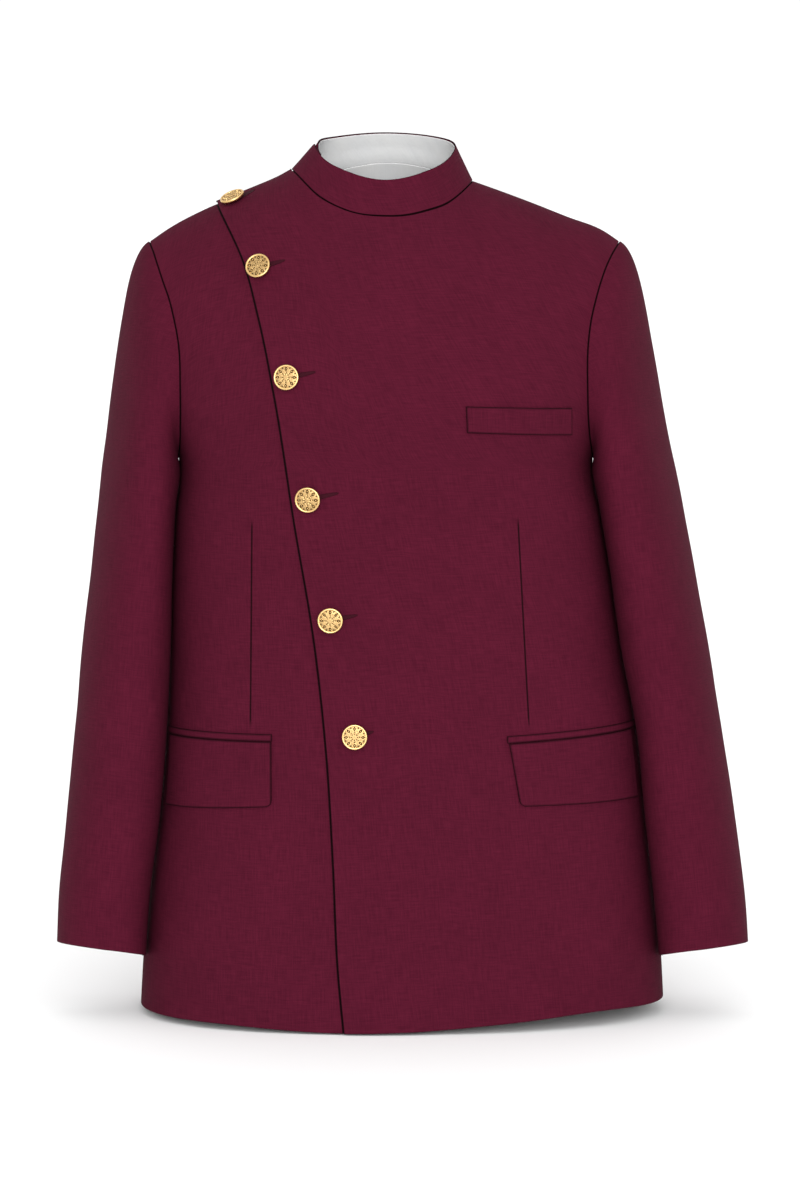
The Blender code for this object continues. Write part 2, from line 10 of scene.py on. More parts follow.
import bpy
import numpy as np
from mathutils import Matrix, Vector


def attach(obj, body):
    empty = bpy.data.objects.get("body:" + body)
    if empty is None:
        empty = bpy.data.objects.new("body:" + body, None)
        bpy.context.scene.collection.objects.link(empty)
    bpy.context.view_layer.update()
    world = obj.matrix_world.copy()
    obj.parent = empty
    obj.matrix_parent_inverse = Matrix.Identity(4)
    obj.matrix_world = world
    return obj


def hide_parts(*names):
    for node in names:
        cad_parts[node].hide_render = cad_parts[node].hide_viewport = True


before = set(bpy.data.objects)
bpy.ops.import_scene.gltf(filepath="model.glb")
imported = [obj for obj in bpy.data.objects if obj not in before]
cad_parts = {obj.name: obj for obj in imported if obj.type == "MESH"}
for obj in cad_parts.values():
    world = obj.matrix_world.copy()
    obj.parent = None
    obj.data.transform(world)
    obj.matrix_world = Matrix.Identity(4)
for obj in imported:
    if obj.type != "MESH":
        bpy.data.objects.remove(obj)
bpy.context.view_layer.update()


def table(columns, rows):
    """Rows whose values go by the names of their columns."""
    row = namedtuple("Row", columns)
    return [row(*values) for values in rows]


# Cloth walls and the clearance that seams and layers keep.
CLOTH = 0.0018
LINING = 0.0009
SEAM_GAP = 0.0004
CENTRE_GAP = 0.0009
ARMHOLE_GAP = 0.0008
SHOULDER_GAP = 0.0006
LAYER_GAP = 0.0006
LINING_GAP = 0.0016
SLEEVE_SEAM_HALF = 0.8

# The torso's form: level sections, each side's half width and the reach to front and back.
LEVELS = table("z right left front back", [
    (-0.756, 0.2250, 0.2505, 0.134, 0.122),
    (-0.690, 0.2210, 0.2468, 0.130, 0.119),
    (-0.620, 0.2140, 0.2392, 0.126, 0.115),
    (-0.560, 0.2062, 0.2328, 0.123, 0.112),
    (-0.487, 0.2002, 0.2246, 0.120, 0.108),
    (-0.430, 0.1974, 0.2130, 0.118, 0.107),
    (-0.360, 0.1949, 0.2022, 0.118, 0.110),
    (-0.300, 0.1915, 0.1918, 0.121, 0.115),
    (-0.250, 0.1870, 0.1830, 0.124, 0.119),
    (-0.230, 0.1930, 0.1885, 0.125, 0.120),
    (-0.190, 0.2080, 0.2020, 0.126, 0.121),
    (-0.124, 0.2260, 0.2190, 0.126, 0.121),
    (-0.050, 0.2480, 0.2430, 0.126, 0.121),
])
SIDE_ROUND = 2.4
SIDE_SEAM_Y = 0.005
UNDERARM_Z = -0.250
SIDE_INSET = 2e-7
FORM_PROBE = 0.0005
SHOULDER_END_Z = -0.0562

# The shoulder line, and over the neck the height at which front and back would meet.
RIDGE = table("x y front back", [
    (-0.2135, 0.012, -0.0566, -0.0566),
    (-0.196, 0.012, -0.0446, -0.0446),
    (-0.165, 0.011, -0.0282, -0.0282),
    (-0.120, 0.008, -0.0105, -0.0105),
    (-0.094, 0.006, 0.0008, 0.0008),
    (-0.085, 0.005, 0.0058, 0.0058),
    (-0.062, 0.005, 0.0118, 0.0240),
    (-0.035, 0.005, 0.0216, 0.0500),
    (-0.003, 0.005, 0.0290, 0.0625),
    (0.030, 0.005, 0.0190, 0.0490),
    (0.055, 0.005, 0.0046, 0.0240),
    (0.076, 0.005, -0.0025, -0.0025),
    (0.115, 0.008, -0.0165, -0.0165),
    (0.160, 0.011, -0.0340, -0.0340),
    (0.195, 0.012, -0.0480, -0.0480),
    (0.2072, 0.012, -0.0564, -0.0564),
])

# Where the armhole seams cross each height, on the front and on the back.
ARMHOLES = table("z right_front left_front right_back left_back", [
    (-0.250, 0.1870, 0.1830, 0.1870, 0.1830),
    (-0.238, 0.1846, 0.1805, 0.1862, 0.1822),
    (-0.215, 0.1830, 0.1772, 0.1868, 0.1822),
    (-0.185, 0.1825, 0.1758, 0.1885, 0.1832),
    (-0.141, 0.1844, 0.1765, 0.1930, 0.1870),
    (-0.124, 0.1878, 0.1788, 0.1955, 0.1893),
    (-0.106, 0.1925, 0.1832, 0.1988, 0.1925),
    (-0.089, 0.1990, 0.1885, 0.2025, 0.1962),
    (-0.072, 0.2054, 0.1958, 0.2068, 0.2002),
    (-0.064, 0.2086, 0.2006, 0.2098, 0.2034),
    (-0.0562, 0.2130, 0.2068, 0.2130, 0.2068),
])

# The neck is an oval on the form. This is the collar's top edge, by angle from the wearer's right,
# past the front.
NECK = table("angle top", [
    (-45, 0.0375),
    (0, 0.0315),
    (45, 0.0120),
    (90, -0.0002),
    (135, 0.0105),
    (180, 0.0290),
    (225, 0.0375),
    (270, 0.0410),
    (315, 0.0375),
    (360, 0.0315),
    (405, 0.0120),
])
NECK_MIDDLE = -0.0045
NECK_HALF = 0.0805
NECK_Y = 0.005
NECK_FRONT = 0.082
NECK_BACK = 0.061
NECK_LEVEL_Z = -0.030
COLLAR_MIDDLE = -0.0025
COLLAR_HALF = 0.0630
COLLAR_Y = 0.007
COLLAR_FRONT = 0.077
COLLAR_BACK = 0.047
COLLAR_RISE = (0.022, 1.0)
COLLAR_WALL = 0.0014
COLLAR_CORNER = 0.0035
COLLAR_LINING_RISE = (0.05, 0.975)
COLLAR_LINING_WALL = 0.0006
COLLAR_LINING_DEPTH = 0.0028
COLLAR_LINING_CLOSING = 0.0011
COLLAR_LINING_CLOSED = (0.1, 0.5)
COLLAR_LINING_DROP = 0.0010
COLLAR_LINING_START = 2
COLLAR_TUCK = 18
COLLAR_TUCK_DROP = 0.0030
COLLAR_TUCK_START = 358
COLLAR_TUCK_RUN = 8
COLLAR_SHIFT_START = 318
COLLAR_SHIFT_RUN = 38
COLLAR_SHIFT = 0.0046
COLLAR_CLOSING = 0.35
COLLAR_END_DROP = 0.0007
COLLAR_END_RUN = 10
COLLAR_SEWN = (1, 352)
NECK_LINING_TOP = 0.0007
NECK_LINING_END = 0.0040
NECK_LINING_DEPTH = 0.055
NECK_LINING_ANGLES = (196, 344)

# The overlap's free edge on the wearer's right, and the edge of the layer below it.
CLOSURE = table("z over under", [
    (-0.756, -0.0375, -0.001),
    (-0.690, -0.0435, -0.004),
    (-0.600, -0.0475, -0.008),
    (-0.507, -0.0530, -0.014),
    (-0.400, -0.0645, -0.026),
    (-0.300, -0.0810, -0.035),
    (-0.190, -0.0980, -0.042),
    (-0.120, -0.1125, -0.045),
    (-0.070, -0.1270, -0.045),
    (-0.020, -0.1530, -0.045),
])
CLOSURE_TOP_Z = -0.020
LAP = 0.0030
LAP_START = 0.006
LAP_FADE = 0.055
TUCK = 0.0010
TUCK_FADE = 0.020

# The bottom edge of the body.
HEM = table("x front back", [
    (-0.226, -0.7435, -0.7435),
    (-0.150, -0.7440, -0.7440),
    (-0.040, -0.7482, -0.7440),
    (0.020, -0.7470, -0.7430),
    (0.109, -0.7408, -0.7400),
    (0.200, -0.7348, -0.7375),
    (0.251, -0.7370, -0.7370),
])

# Sleeve sections: the inner and outer edge on each arm, and the depth they share.
SLEEVES = table("z right_in right_out left_in left_out y half", [
    (-0.706, 0.2178, 0.2995, 0.2439, 0.3264, -0.034, 0.0460),
    (-0.640, 0.2131, 0.2965, 0.2378, 0.3215, -0.032, 0.0510),
    (-0.566, 0.2036, 0.2893, 0.2293, 0.3120, -0.028, 0.0575),
    (-0.491, 0.1973, 0.2825, 0.2217, 0.3009, -0.023, 0.0635),
    (-0.417, 0.1935, 0.2759, 0.2076, 0.2889, -0.016, 0.0690),
    (-0.344, 0.1916, 0.2680, 0.1971, 0.2762, -0.006, 0.0740),
    (-0.289, 0.1888, 0.2625, 0.1880, 0.2662, 0.003, 0.0770),
    (-0.262, 0.1868, 0.2599, 0.1841, 0.2609, 0.007, 0.0785),
])
SLEEVE_ROUND = 2.2
SLEEVE_LEAN = 0.22
BICEP_Z = -0.262
BICEP_STEP = 0.03
CUFF_Z = -0.6895
CUFF_SLANT = 0.0055
CUFF_RISE = 0.0060
SLEEVE_SEAMS = (160, 245)
Head = namedtuple("Head", "out fore down pull")
HEAD_INNER = Head(0.62, 0.22, 0.50, 0.80)
HEAD_OUTER = Head(0.92, 0.22, 0.42, 0.38)
HEAD_ARRIVE = 1.15

# Pockets, by their place on the front as seen from the front.
PATCH_COLUMNS = "name start top_start bottom_start end top_end bottom_end lean wall round_start round_end"
PATCHES = table(PATCH_COLUMNS, [
    ("chest_welt", 0.0680, -0.1965, -0.2195, 0.1615, -0.2000, -0.2240, 0.0010, 0.0014, 0, 0),
    ("pocket_jet_right", -0.1955, -0.4870, -0.4934, -0.1015, -0.4855, -0.4919, 0.0005, 0.0012, 0, 0),
    ("pocket_flap_right", -0.1955, -0.4938, -0.5570, -0.1020, -0.4923, -0.5495, 0.0010, 0.0016, 0, 1),
    ("pocket_jet_left", 0.1045, -0.4870, -0.4934, 0.2195, -0.4820, -0.4884, 0.0005, 0.0012, 0, 0),
    ("pocket_flap_left", 0.1065, -0.4938, -0.5495, 0.2195, -0.4888, -0.5500, 0.0100, 0.0016, 1, 0),
])
FLAP_CORNER = 0.0055
LEAST_FLAP = 0.04

# Buttons by their place on the overlap, and the far end of each one's buttonhole.
BUTTONS = table("x z tip_x tip_z", [
    (-0.1360, -0.0215, -0.1170, -0.0125),
    (-0.1119, -0.0780, -0.0890, -0.0715),
    (-0.0869, -0.1720, -0.0625, -0.1668),
    (-0.0687, -0.2775, -0.0425, -0.2715),
    (-0.0496, -0.3838, -0.0265, -0.3790),
    (-0.0287, -0.4862, -0.0125, -0.4815),
])
BUTTON_PROBE = 0.001
BUTTON_SHARP = 0.7

# A button's turned forms, as radii and heights, and the steps round each.
RIM = [
    (0.0032, 0.0000), (0.0032, 0.0012), (0.0100, 0.0015), (0.0107, 0.0019), (0.01120, 0.0026),
    (0.01125, 0.0034), (0.01115, 0.0041), (0.0108, 0.0046), (0.0103, 0.0048), (0.0098, 0.0047),
    (0.0094, 0.0044), (0.0092, 0.0038),
]
DISC = [(0.0094, 0.0039), (0.0090, 0.0041), (0.0060, 0.0042), (0.0010, 0.0043), (0.0002, 0.0043)]
BEAD = [(0.00055, 0.0), (0.00050, 0.00018), (0.00034, 0.00034), (0.00008, 0.00042)]
# Flat dots, dark with painted shade, stand in for the small piercings.
DOT = [(0.00070, 0.0), (0.00068, 0.00003), (0.00005, 0.00003)]
BODY_STEPS = 72
BEAD_STEPS = 10
DOT_STEPS = 12

# Its motifs of wire: width, length and points of a loop, and each wire's radius and sides.
PETAL = (0.0046, 0.0032, 9)
PETAL_WIRE = (0.00024, 6)
# The dark sheet inside each petal, painted in for the shade of its piercing, at this share of the petal's
# size.
PETAL_FIELD = 0.86
LEAF = (0.0012, 0.0022, 7)
LEAF_WIRE = (0.00016, 5)
EYE_RADIUS = 0.00080
EYE_POINTS = 12
EYE_WIRE = (0.00018, 5)

# How many of each motif stand round the middle, how far out, how high, how far turned and in which finish;
# finishes 1 and 2 darken the sunk field and the piercings with painted shade.
MOTIFS = table("shape count radius height turn finish", [
    ("rim", 1, 0.0, 0.0, 0.0, 0),
    ("disc", 1, 0.0, 0.0, 0.0, 1),
    ("petal", 8, 0.0074, 0.00425, 0.0, 0),
    ("petal field", 8, 0.0074, 0.00424, 0.0, 2),
    ("bead", 8, 0.0074, 0.00424, 0.0, 0),
    ("dot", 8, 0.0086, 0.00421, pi / 8, 2),
    ("bead", 8, 0.0060, 0.00422, pi / 8, 0),
    ("dot", 8, 0.0046, 0.00424, 0.0, 2),
    ("eye", 8, 0.0046, 0.00428, 0.0, 0),
    ("leaf", 8, 0.0026, 0.00432, pi / 8, 0),
    ("dot", 8, 0.0027, 0.00430, 0.0, 2),
    ("bead", 1, 0.0, 0.0043, 0.0, 0),
])
# The gold; a darker, rougher gold for the sunk field, its darkness painted shade; a dark brown for the
# piercings' shade.
FINISHES = table("name colour roughness", [
    ("pale_gold", (0.70, 0.47, 0.20), 0.30),
    ("dull_gold", (0.40, 0.27, 0.12), 0.45),
    ("sunk_brown", (0.07, 0.040, 0.016), 0.5),
])

# A buttonhole's slit, and the stitches round it.
SLIT_STEPS = 24
STITCH = {"Spacing": 0.00042, "Length": 0.0014, "Thread": 0.00042}
STITCH_LIFT = 0.0001
SLIT_HALF = 0.0021
SLIT_LIFT = 0.00025

# Darts sewn into the front, above each hip pocket.
DARTS = table("x z end_x end_z", [
    (-0.119, -0.295, -0.121, -0.482),
    (0.114, -0.293, 0.1245, -0.482),
])
DART_FADE = 0.010

# Soft creases, as ridges of a height or troughs below zero, from one end to the other.
# On the body across is the place seen from the front, on the sleeves the angle from the outer side.
CREASE_COLUMNS = "across z end_across end_z width height"
FRONT_CREASES = table(CREASE_COLUMNS, [
    (-0.119, -0.300, -0.121, -0.482, 0.006, -0.0004),
    (0.114, -0.300, 0.1245, -0.482, 0.006, -0.0004),
    (-0.172, -0.262, -0.105, -0.345, 0.016, -0.0009),
    (0.170, -0.258, 0.112, -0.330, 0.015, -0.0008),
    (-0.176, -0.150, -0.150, -0.235, 0.013, -0.0007),
    (0.168, -0.140, 0.150, -0.225, 0.012, -0.0006),
    (-0.150, -0.585, -0.165, -0.735, 0.030, 0.0011),
    (-0.095, -0.560, -0.092, -0.740, 0.026, -0.0008),
    (0.060, -0.590, 0.072, -0.742, 0.032, 0.0009),
    (0.140, -0.570, 0.158, -0.735, 0.028, -0.0010),
    (0.190, -0.560, 0.210, -0.730, 0.024, 0.0008),
    (0.010, -0.300, 0.000, -0.520, 0.045, -0.0006),
    (0.060, -0.060, 0.110, -0.150, 0.030, -0.0006),
    (-0.060, -0.070, -0.085, -0.160, 0.028, -0.0005),
])
BACK_CREASES = table(CREASE_COLUMNS, [
    (-0.165, -0.235, -0.060, -0.300, 0.018, -0.0014),
    (-0.160, -0.285, -0.075, -0.330, 0.014, -0.0010),
    (0.160, -0.240, 0.058, -0.312, 0.018, -0.0013),
    (0.152, -0.282, 0.082, -0.338, 0.015, -0.0011),
    (-0.120, -0.060, -0.070, -0.150, 0.024, -0.0010),
    (0.112, -0.065, 0.066, -0.160, 0.026, -0.0009),
    (-0.100, -0.480, -0.125, -0.740, 0.034, 0.0016),
    (0.105, -0.500, 0.140, -0.738, 0.034, 0.0015),
    (-0.040, -0.520, -0.048, -0.742, 0.028, -0.0010),
    (0.045, -0.540, 0.060, -0.742, 0.030, -0.0011),
    (-0.160, -0.420, -0.090, -0.395, 0.016, -0.0009),
    (0.155, -0.410, 0.095, -0.392, 0.015, -0.0008),
])
SLEEVE_CREASES = table(CREASE_COLUMNS, [
    (20, -0.300, 120, -0.340, 0.014, -0.0010),
    (95, -0.385, 170, -0.420, 0.012, -0.0012),
    (80, -0.430, 165, -0.448, 0.012, -0.0011),
    (190, -0.400, 265, -0.430, 0.014, -0.0012),
    (-75, -0.450, -20, -0.470, 0.016, -0.0009),
    (60, -0.560, 150, -0.590, 0.014, -0.0008),
    (-40, -0.180, -15, -0.260, 0.015, -0.0009),
    (35, -0.170, 22, -0.250, 0.015, -0.0008),
    (-60, -0.600, -35, -0.690, 0.018, 0.0008),
])
CREASE_END = 0.35
CREASE_SWELL = 0.7
SLEEVE_REACH = 0.042

# The unevenness of hanging cloth: its height, and the speeds of its slow and quick waves.
RIPPLE = 0.00022
RIPPLE_SLOW = (47, 5, 11, 23, 3, 17)
RIPPLE_QUICK = (112, 31, 71, -26)
RIPPLE_QUICK_SHARE = 0.45

# Below the underarm the sleeve and the body's side press on each other.
Swell = namedtuple("Swell", "across z wide high height")
UNDERARM_PRESS = Swell(154, -0.262, 26, 0.019, 0.0020)
SIDE_SWELL = Swell(0.0, -0.262, 0.004, 0.015, 0.0012)

# How near a seam or an edge the swellings and creases fade out.
PRESS_FADE = 0.0025
CAP_FADE = 0.030
INNER_FADE = 0.5
SIDE_FADE = 0.002
ARMHOLE_FADE = 0.012
ARMHOLE_FADE_RUN = 0.06
TOP_FADE = 0.004

# How finely the pieces are sampled.
SKIRT_ROWS = 104
CHEST_ROWS = 76
CHEST_CLOSING = 1.4
PANEL_PASSES = 14
SHOULDER_LENGTH = 0.125
SHOULDER_COLUMNS = 30
NECK_COLUMNS = 44
CAP_RINGS = 44
CAP_CLOSING = 1.25
ARM_RINGS = 96
TOP_SLEEVE_COLUMNS = 72
UNDER_SLEEVE_COLUMNS = 24
COLLAR_COLUMNS = 170
COLLAR_ROWS = 14
NECK_LINING_COLUMNS = 60
NECK_LINING_ROWS = 16
PATCH_STEP = 0.0022

# Each border's extra points, its rounding and the width of the painted shade along it. For each front, on
# which side of the overlap's edge its painted shadow lies, and how far it reaches.
EDGE_STEPS = (0.00006, 0.00018, 0.00034, 0.0005, 0.0020)
EDGE_ROLL = 0.0005
MOST_STEP = 0.9
LEAST_LENGTH = 1e-12
PAINTED_SEAM_WIDTH = 0.0005
PAINTED_EDGE_WIDTH = 0.0010
PAINTED_OVERLAP_SHADOW = {"front_left": (1, 0.0007), "front_right": (-1, 0.0020)}

# The cloth folded inside a seam, and by how many rows the sleeve seams' folds stop short of the armhole.
ALLOWANCE_DEPTH = 0.0021
ALLOWANCE_WALL = 0.0004
ALLOWANCE_BEND = 0.0006
ALLOWANCE_REACH = 0.0040
ALLOWANCE_SHORT = 4

# The cloths' threads: noise cycles a metre across and up, with a broad unevenness last.
NOISE_COLUMNS = "across up detail offset"
SUITING = table(NOISE_COLUMNS, [
    (900.0, 55.0, 2.0, (3.0, 1.0, 0.0)),
    (60.0, 950.0, 2.0, (7.0, 5.0, 2.0)),
    (22.0, 16.0, 3.0, (1.0, 9.0, 4.0)),
])
LINING_CLOTH = table(NOISE_COLUMNS, [
    (700.0, 40.0, 2.0, (2.0, 4.0, 1.0)),
    (45.0, 26.0, 3.0, (5.0, 2.0, 3.0)),
])
THREAD_ROUGHNESS = 0.55
THREADS_A_METRE = 2100.0
WEAVE_RELIEF = 0.5
SLUB_RELIEF = 2.0
LINING_BROAD_RELIEF = 3.0
LINING_WARP_RELIEF = 0.5
BROAD_RANGE = (0.3, 0.7)
SLUB_RANGE = (0.36, 0.64)

# How each value darkens the cloth: from and to which value, and the shade at each. The patchy tone is
# the cloth's own; the seam, dart and overlap values paint shade.
PATCHY_SHADE = (0.3, 0.7, 0.95, 1.05)
SEAM_SHADE = (0.25, 1.0, 0.12, 1.0)
# A faint line of painted shade along each dart's fold.
DART_SHADE = (0.0004, 0.0010, 0.85, 0.0)
# The overlap's edge darkened by painted shade: its own rim, and its shadow on the front beneath.
OVERLAP_SHADE = (0.0, 0.7, 1.0, 0.08)

# Colours, and how coarse and uneven the buttons' wear and the thread's twist are.
CLOTH_DARK = (0.0455, 0.0029, 0.0110)
CLOTH_PALE = (0.0675, 0.0052, 0.0164)
LINING_DARK = (0.59, 0.595, 0.60)
LINING_PALE = (0.63, 0.63, 0.625)
THREAD_DARK = (0.020, 0.0010, 0.0042)
THREAD_PALE = (0.034, 0.0018, 0.0072)
WORN_SCALE = 900.0
WORN_SMOOTH = 0.07
WORN_ROUGH = 0.10
TWIST_SCALE = 2600.0

# The camera stands level with the collar, far off, and looks a little down.
CAMERA_AT = (0.0108, -4.2, 0.05)
CAMERA_AIM = (0.0108, 0.0, -0.378)
CAMERA_LENS = 140.725
CAMERA_SENSOR = 36.0
WORLD_LIGHT = 1.06
FLOOR_Z = -0.7495
FLOOR_HALF = 40.0
FLOOR_SHADE = 0.95

# Large soft lamps far off, by the way they shine, their spread in radians and their strength.
LAMPS = table("name towards spread strength", [
    ("key", (-0.2, 1.0, -0.6), 1.2, 1.0),
    ("front", (0.0, 1.0, -0.12), 0.6, 2.4),
])


def mix(first, second, share):
    return first + (second - first) * share


def cubic(start, leave, end, arrive, t):
    """The smooth way from start to end, by how it leaves the one and arrives at the other."""
    first = start * (1 + 2 * t) * (1 - t) ** 2 + leave * t * (1 - t) ** 2
    return first + end * t**2 * (3 - 2 * t) + arrive * t**2 * (t - 1)


def smooth_curve(rows, key, column):
    """A smooth function of the key column that passes through the given column of every row."""
    keys = np.array([getattr(row, key) for row in rows], float)
    values = np.array([getattr(row, column) for row in rows], float)
    slopes = np.gradient(values, keys)

    def at(place):
        place = np.clip(np.asarray(place, float), keys[0], keys[-1])
        low = np.clip(np.searchsorted(keys, place) - 1, 0, len(keys) - 2)
        step = keys[low + 1] - keys[low]
        t = (place - keys[low]) / step
        return cubic(values[low], slopes[low] * step, values[low + 1], slopes[low + 1] * step, t)

    return at


def ease(t):
    t = np.clip(t, 0, 1)
    return t * t * (3 - 2 * t)


half_right = smooth_curve(LEVELS, "z", "right")
half_left = smooth_curve(LEVELS, "z", "left")
reach_front = smooth_curve(LEVELS, "z", "front")
reach_back = smooth_curve(LEVELS, "z", "back")
ridge_y = smooth_curve(RIDGE, "x", "y")
ridge_front = smooth_curve(RIDGE, "x", "front")
ridge_back = smooth_curve(RIDGE, "x", "back")
neck_top = smooth_curve(NECK, "angle", "top")
over_edge = smooth_curve(CLOSURE, "z", "over")
under_edge = smooth_curve(CLOSURE, "z", "under")
ARMHOLE_LIMITS = {
    -1: (smooth_curve(ARMHOLES, "z", "right_front"), smooth_curve(ARMHOLES, "z", "left_front")),
    1: (smooth_curve(ARMHOLES, "z", "right_back"), smooth_curve(ARMHOLES, "z", "left_back")),
}
hem_front = smooth_curve(HEM, "x", "front")
hem_back = smooth_curve(HEM, "x", "back")


def half_width(x, z):
    return np.where(np.asarray(x) < 0, half_right(z), half_left(z))


def level_y(x, z, face):
    """The depth of the torso's level section, before it curves in to the shoulders."""
    reach = -reach_front(z) if face < 0 else reach_back(z)
    across = np.clip(np.abs(x) / half_width(x, z), 0, 1)
    return mix(SIDE_SEAM_Y, reach, (1 - across**SIDE_ROUND) ** (1 / SIDE_ROUND))


def neck_x(angle):
    return NECK_MIDDLE - NECK_HALF * np.cos(np.radians(angle))


def neck_angle(x, face):
    around = np.degrees(np.arccos(np.clip((NECK_MIDDLE - x) / NECK_HALF, -1, 1)))
    return around if face < 0 else 360 - around


def ridge_z(x, face):
    return ridge_front(x) if face < 0 else ridge_back(x)


def neck_seam(angle):
    """The neck seam's height, where the form has the oval's depth."""
    turn = np.radians(angle)
    heights = []
    for face, depth in ((-1, NECK_FRONT), (1, NECK_BACK)):
        x = neck_x(angle)
        share = depth * np.sin(turn) / (level_y(x, NECK_LEVEL_Z, face) - NECK_Y)
        heights.append(mix(UNDERARM_Z, ridge_z(x, face), np.sqrt(1 - share**2)))
    return np.where(np.sin(turn) >= 0, heights[0], heights[1])


def torso_point(x, z, face):
    """Points of the torso's form at a place seen from the front. Face is -1 in front, 1 behind."""
    x, z = np.broadcast_arrays(np.asarray(x, float), np.asarray(z, float))
    level = level_y(x, z, face)
    up = np.clip((z - UNDERARM_Z) / (ridge_z(x, face) - UNDERARM_Z), 0, 1)
    y = np.where(up > 0, mix(ridge_y(x), level, np.sqrt(1 - up**2)), level)
    return np.stack([x, y, z], axis=-1)


def form_out(x, z, face):
    """Outward directions of the torso's form at places seen from the front."""
    aside = torso_point(x + FORM_PROBE, z, face) - torso_point(x - FORM_PROBE, z, face)
    up = torso_point(x, z, face) - torso_point(x, z - FORM_PROBE, face)
    return unit(np.cross(aside, up) * -face)


def unit(vectors):
    return vectors / np.maximum(np.linalg.norm(vectors, axis=-1, keepdims=True), LEAST_LENGTH)


def normals(grid):
    """Outward directions of a grid of points whose columns run to the right and rows run up."""
    return unit(np.cross(np.gradient(grid, axis=1), np.gradient(grid, axis=0)))


def moved_out(grid, distance):
    return grid + normals(grid) * np.asarray(distance)[..., None]


def side_angle(x, z):
    """How far round its level section a point lies, from -pi/2 to pi/2."""
    across = np.clip(np.abs(x) / half_width(x, z), 0, 1)
    return np.sign(x) * np.arcsin(across ** (SIDE_ROUND / 2))


def side_x(angle, z):
    return np.sign(angle) * half_width(angle, z) * np.sin(np.abs(angle)) ** (2 / SIDE_ROUND)


def crease_height(creases, across, z, reach=1.0):
    """The height of soft creases at places given by their coordinate across, times reach, and z."""
    height = np.zeros(np.broadcast(across, z).shape)
    for crease in creases:
        start = np.array([crease.across * reach, crease.z])
        run = np.array([crease.end_across * reach, crease.end_z]) - start
        length = np.hypot(*run)
        from_start = np.stack(np.broadcast_arrays(across * reach - start[0], z - start[1]), axis=-1)
        share = np.clip(from_start @ run / length**2, 0, 1)
        away = np.linalg.norm(from_start - share[..., None] * run, axis=-1)
        full = mix(CREASE_END, 1, np.sin(pi * share) ** CREASE_SWELL)
        height += crease.height * full * np.exp(-((away / crease.width) ** 2))
    return height


def swell(place, across, z):
    """A single soft swelling round a place on the cloth."""
    aside = ((across - place.across) / place.wide) ** 2
    return place.height * np.exp(-aside - ((z - place.z) / place.high) ** 2)


def ripple(across, z):
    """The slight unevenness of hanging cloth."""
    a, b, c, d, e, f = RIPPLE_SLOW
    slow = np.sin(a * across + b * np.sin(c * z)) * np.sin(d * z + e * np.sin(f * across))
    g, h, i, j = RIPPLE_QUICK
    quick = np.sin(g * across + h * z) * np.sin(i * z + j * across)
    return RIPPLE * (slow + RIPPLE_QUICK_SHARE * quick)


def seam_fade(x, z, face):
    """0 on the side, armhole, shoulder and neck seams and 1 well inside a body panel."""
    limits = ARMHOLE_LIMITS[face]
    side = np.where(z < UNDERARM_Z, half_width(x, z), np.where(x < 0, limits[0](z), limits[1](z)))
    width = mix(SIDE_FADE, ARMHOLE_FADE, ease((z - UNDERARM_Z) / ARMHOLE_FADE_RUN))
    in_neck = (x > neck_x(0)) & (x < neck_x(180))
    top = np.where(in_neck, neck_seam(neck_angle(x, face)), ridge_z(x, face))
    return ease((side - np.abs(x)) / width) * ease((top - z) / TOP_FADE)


def body_creases(grid, face):
    creases = FRONT_CREASES if face < 0 else BACK_CREASES
    x, z = grid[..., 0], grid[..., 2]
    height = (crease_height(creases, x, z) + ripple(x, z + 0.3 * face)) * seam_fade(x, z, face)
    return height + swell(SIDE_SWELL, half_width(x, z) - np.abs(x), z)


def panel(face, start, end, top_x, top_z, hem):
    """A body panel's points, row by row from the hem to the shoulder and neck."""
    share = np.linspace(0, 1, len(top_x))
    top_share = (top_x - top_x[0]) / (top_x[-1] - top_x[0])
    tops = np.clip((top_z - UNDERARM_Z) / (ridge_z(top_x, face) - UNDERARM_Z), 0, 1)
    turn = np.arcsin(tops)
    rows = []
    for row in range(SKIRT_ROWS + CHEST_ROWS + 1):
        x = mix(start(UNDERARM_Z), end(UNDERARM_Z), share)
        climb = max(0.0, (row - SKIRT_ROWS) / CHEST_ROWS)
        for _ in range(PANEL_PASSES):
            if row <= SKIRT_ROWS:
                z = mix(hem(x), UNDERARM_Z, row / SKIRT_ROWS)
            else:
                z = mix(UNDERARM_Z, ridge_z(x, face), np.sin(turn * climb**CHEST_CLOSING))
            left, right = start(z), end(z)
            angle = mix(side_angle(left, z), side_angle(right, z), share)
            x = mix(side_x(angle, z), mix(left, right, top_share), ease(climb))
        if row == SKIRT_ROWS + CHEST_ROWS:
            x, z = top_x, top_z
        rows.append(torso_point(x, z, face))
    return np.array(rows)


def armhole(column, sign):
    edge = smooth_curve(ARMHOLES, "z", column)
    half = half_right if sign < 0 else half_left

    def at(z):
        cut = sign * np.where(np.asarray(z) < UNDERARM_Z, half(z), edge(z))
        limit = half_width(cut, z) * (1 - SIDE_INSET)
        return np.clip(cut, -limit, limit)

    return at


def shoulder_columns(start, end):
    steps = max(2, round(SHOULDER_COLUMNS * (end - start) / SHOULDER_LENGTH))
    return np.linspace(start, end, steps + 1)


def top_edge(face, start, end):
    """The shoulder and neck edge between two places."""
    neck_right, neck_left = neck_x(0), neck_x(180)
    first, last = neck_angle(start, -1), neck_angle(end, -1)
    steps = max(2, round(NECK_COLUMNS * (last - first) / 180))
    parts = [neck_x(np.linspace(first, last, steps + 1))]
    if start < neck_right:
        parts.insert(0, shoulder_columns(start, neck_right)[:-1])
    if end > neck_left:
        parts.append(shoulder_columns(neck_left, end)[1:])
    xs = np.concatenate(parts)
    in_neck = (xs > neck_right) & (xs < neck_left)
    return xs, np.where(in_neck, neck_seam(neck_angle(xs, face)), ridge_z(xs, face))


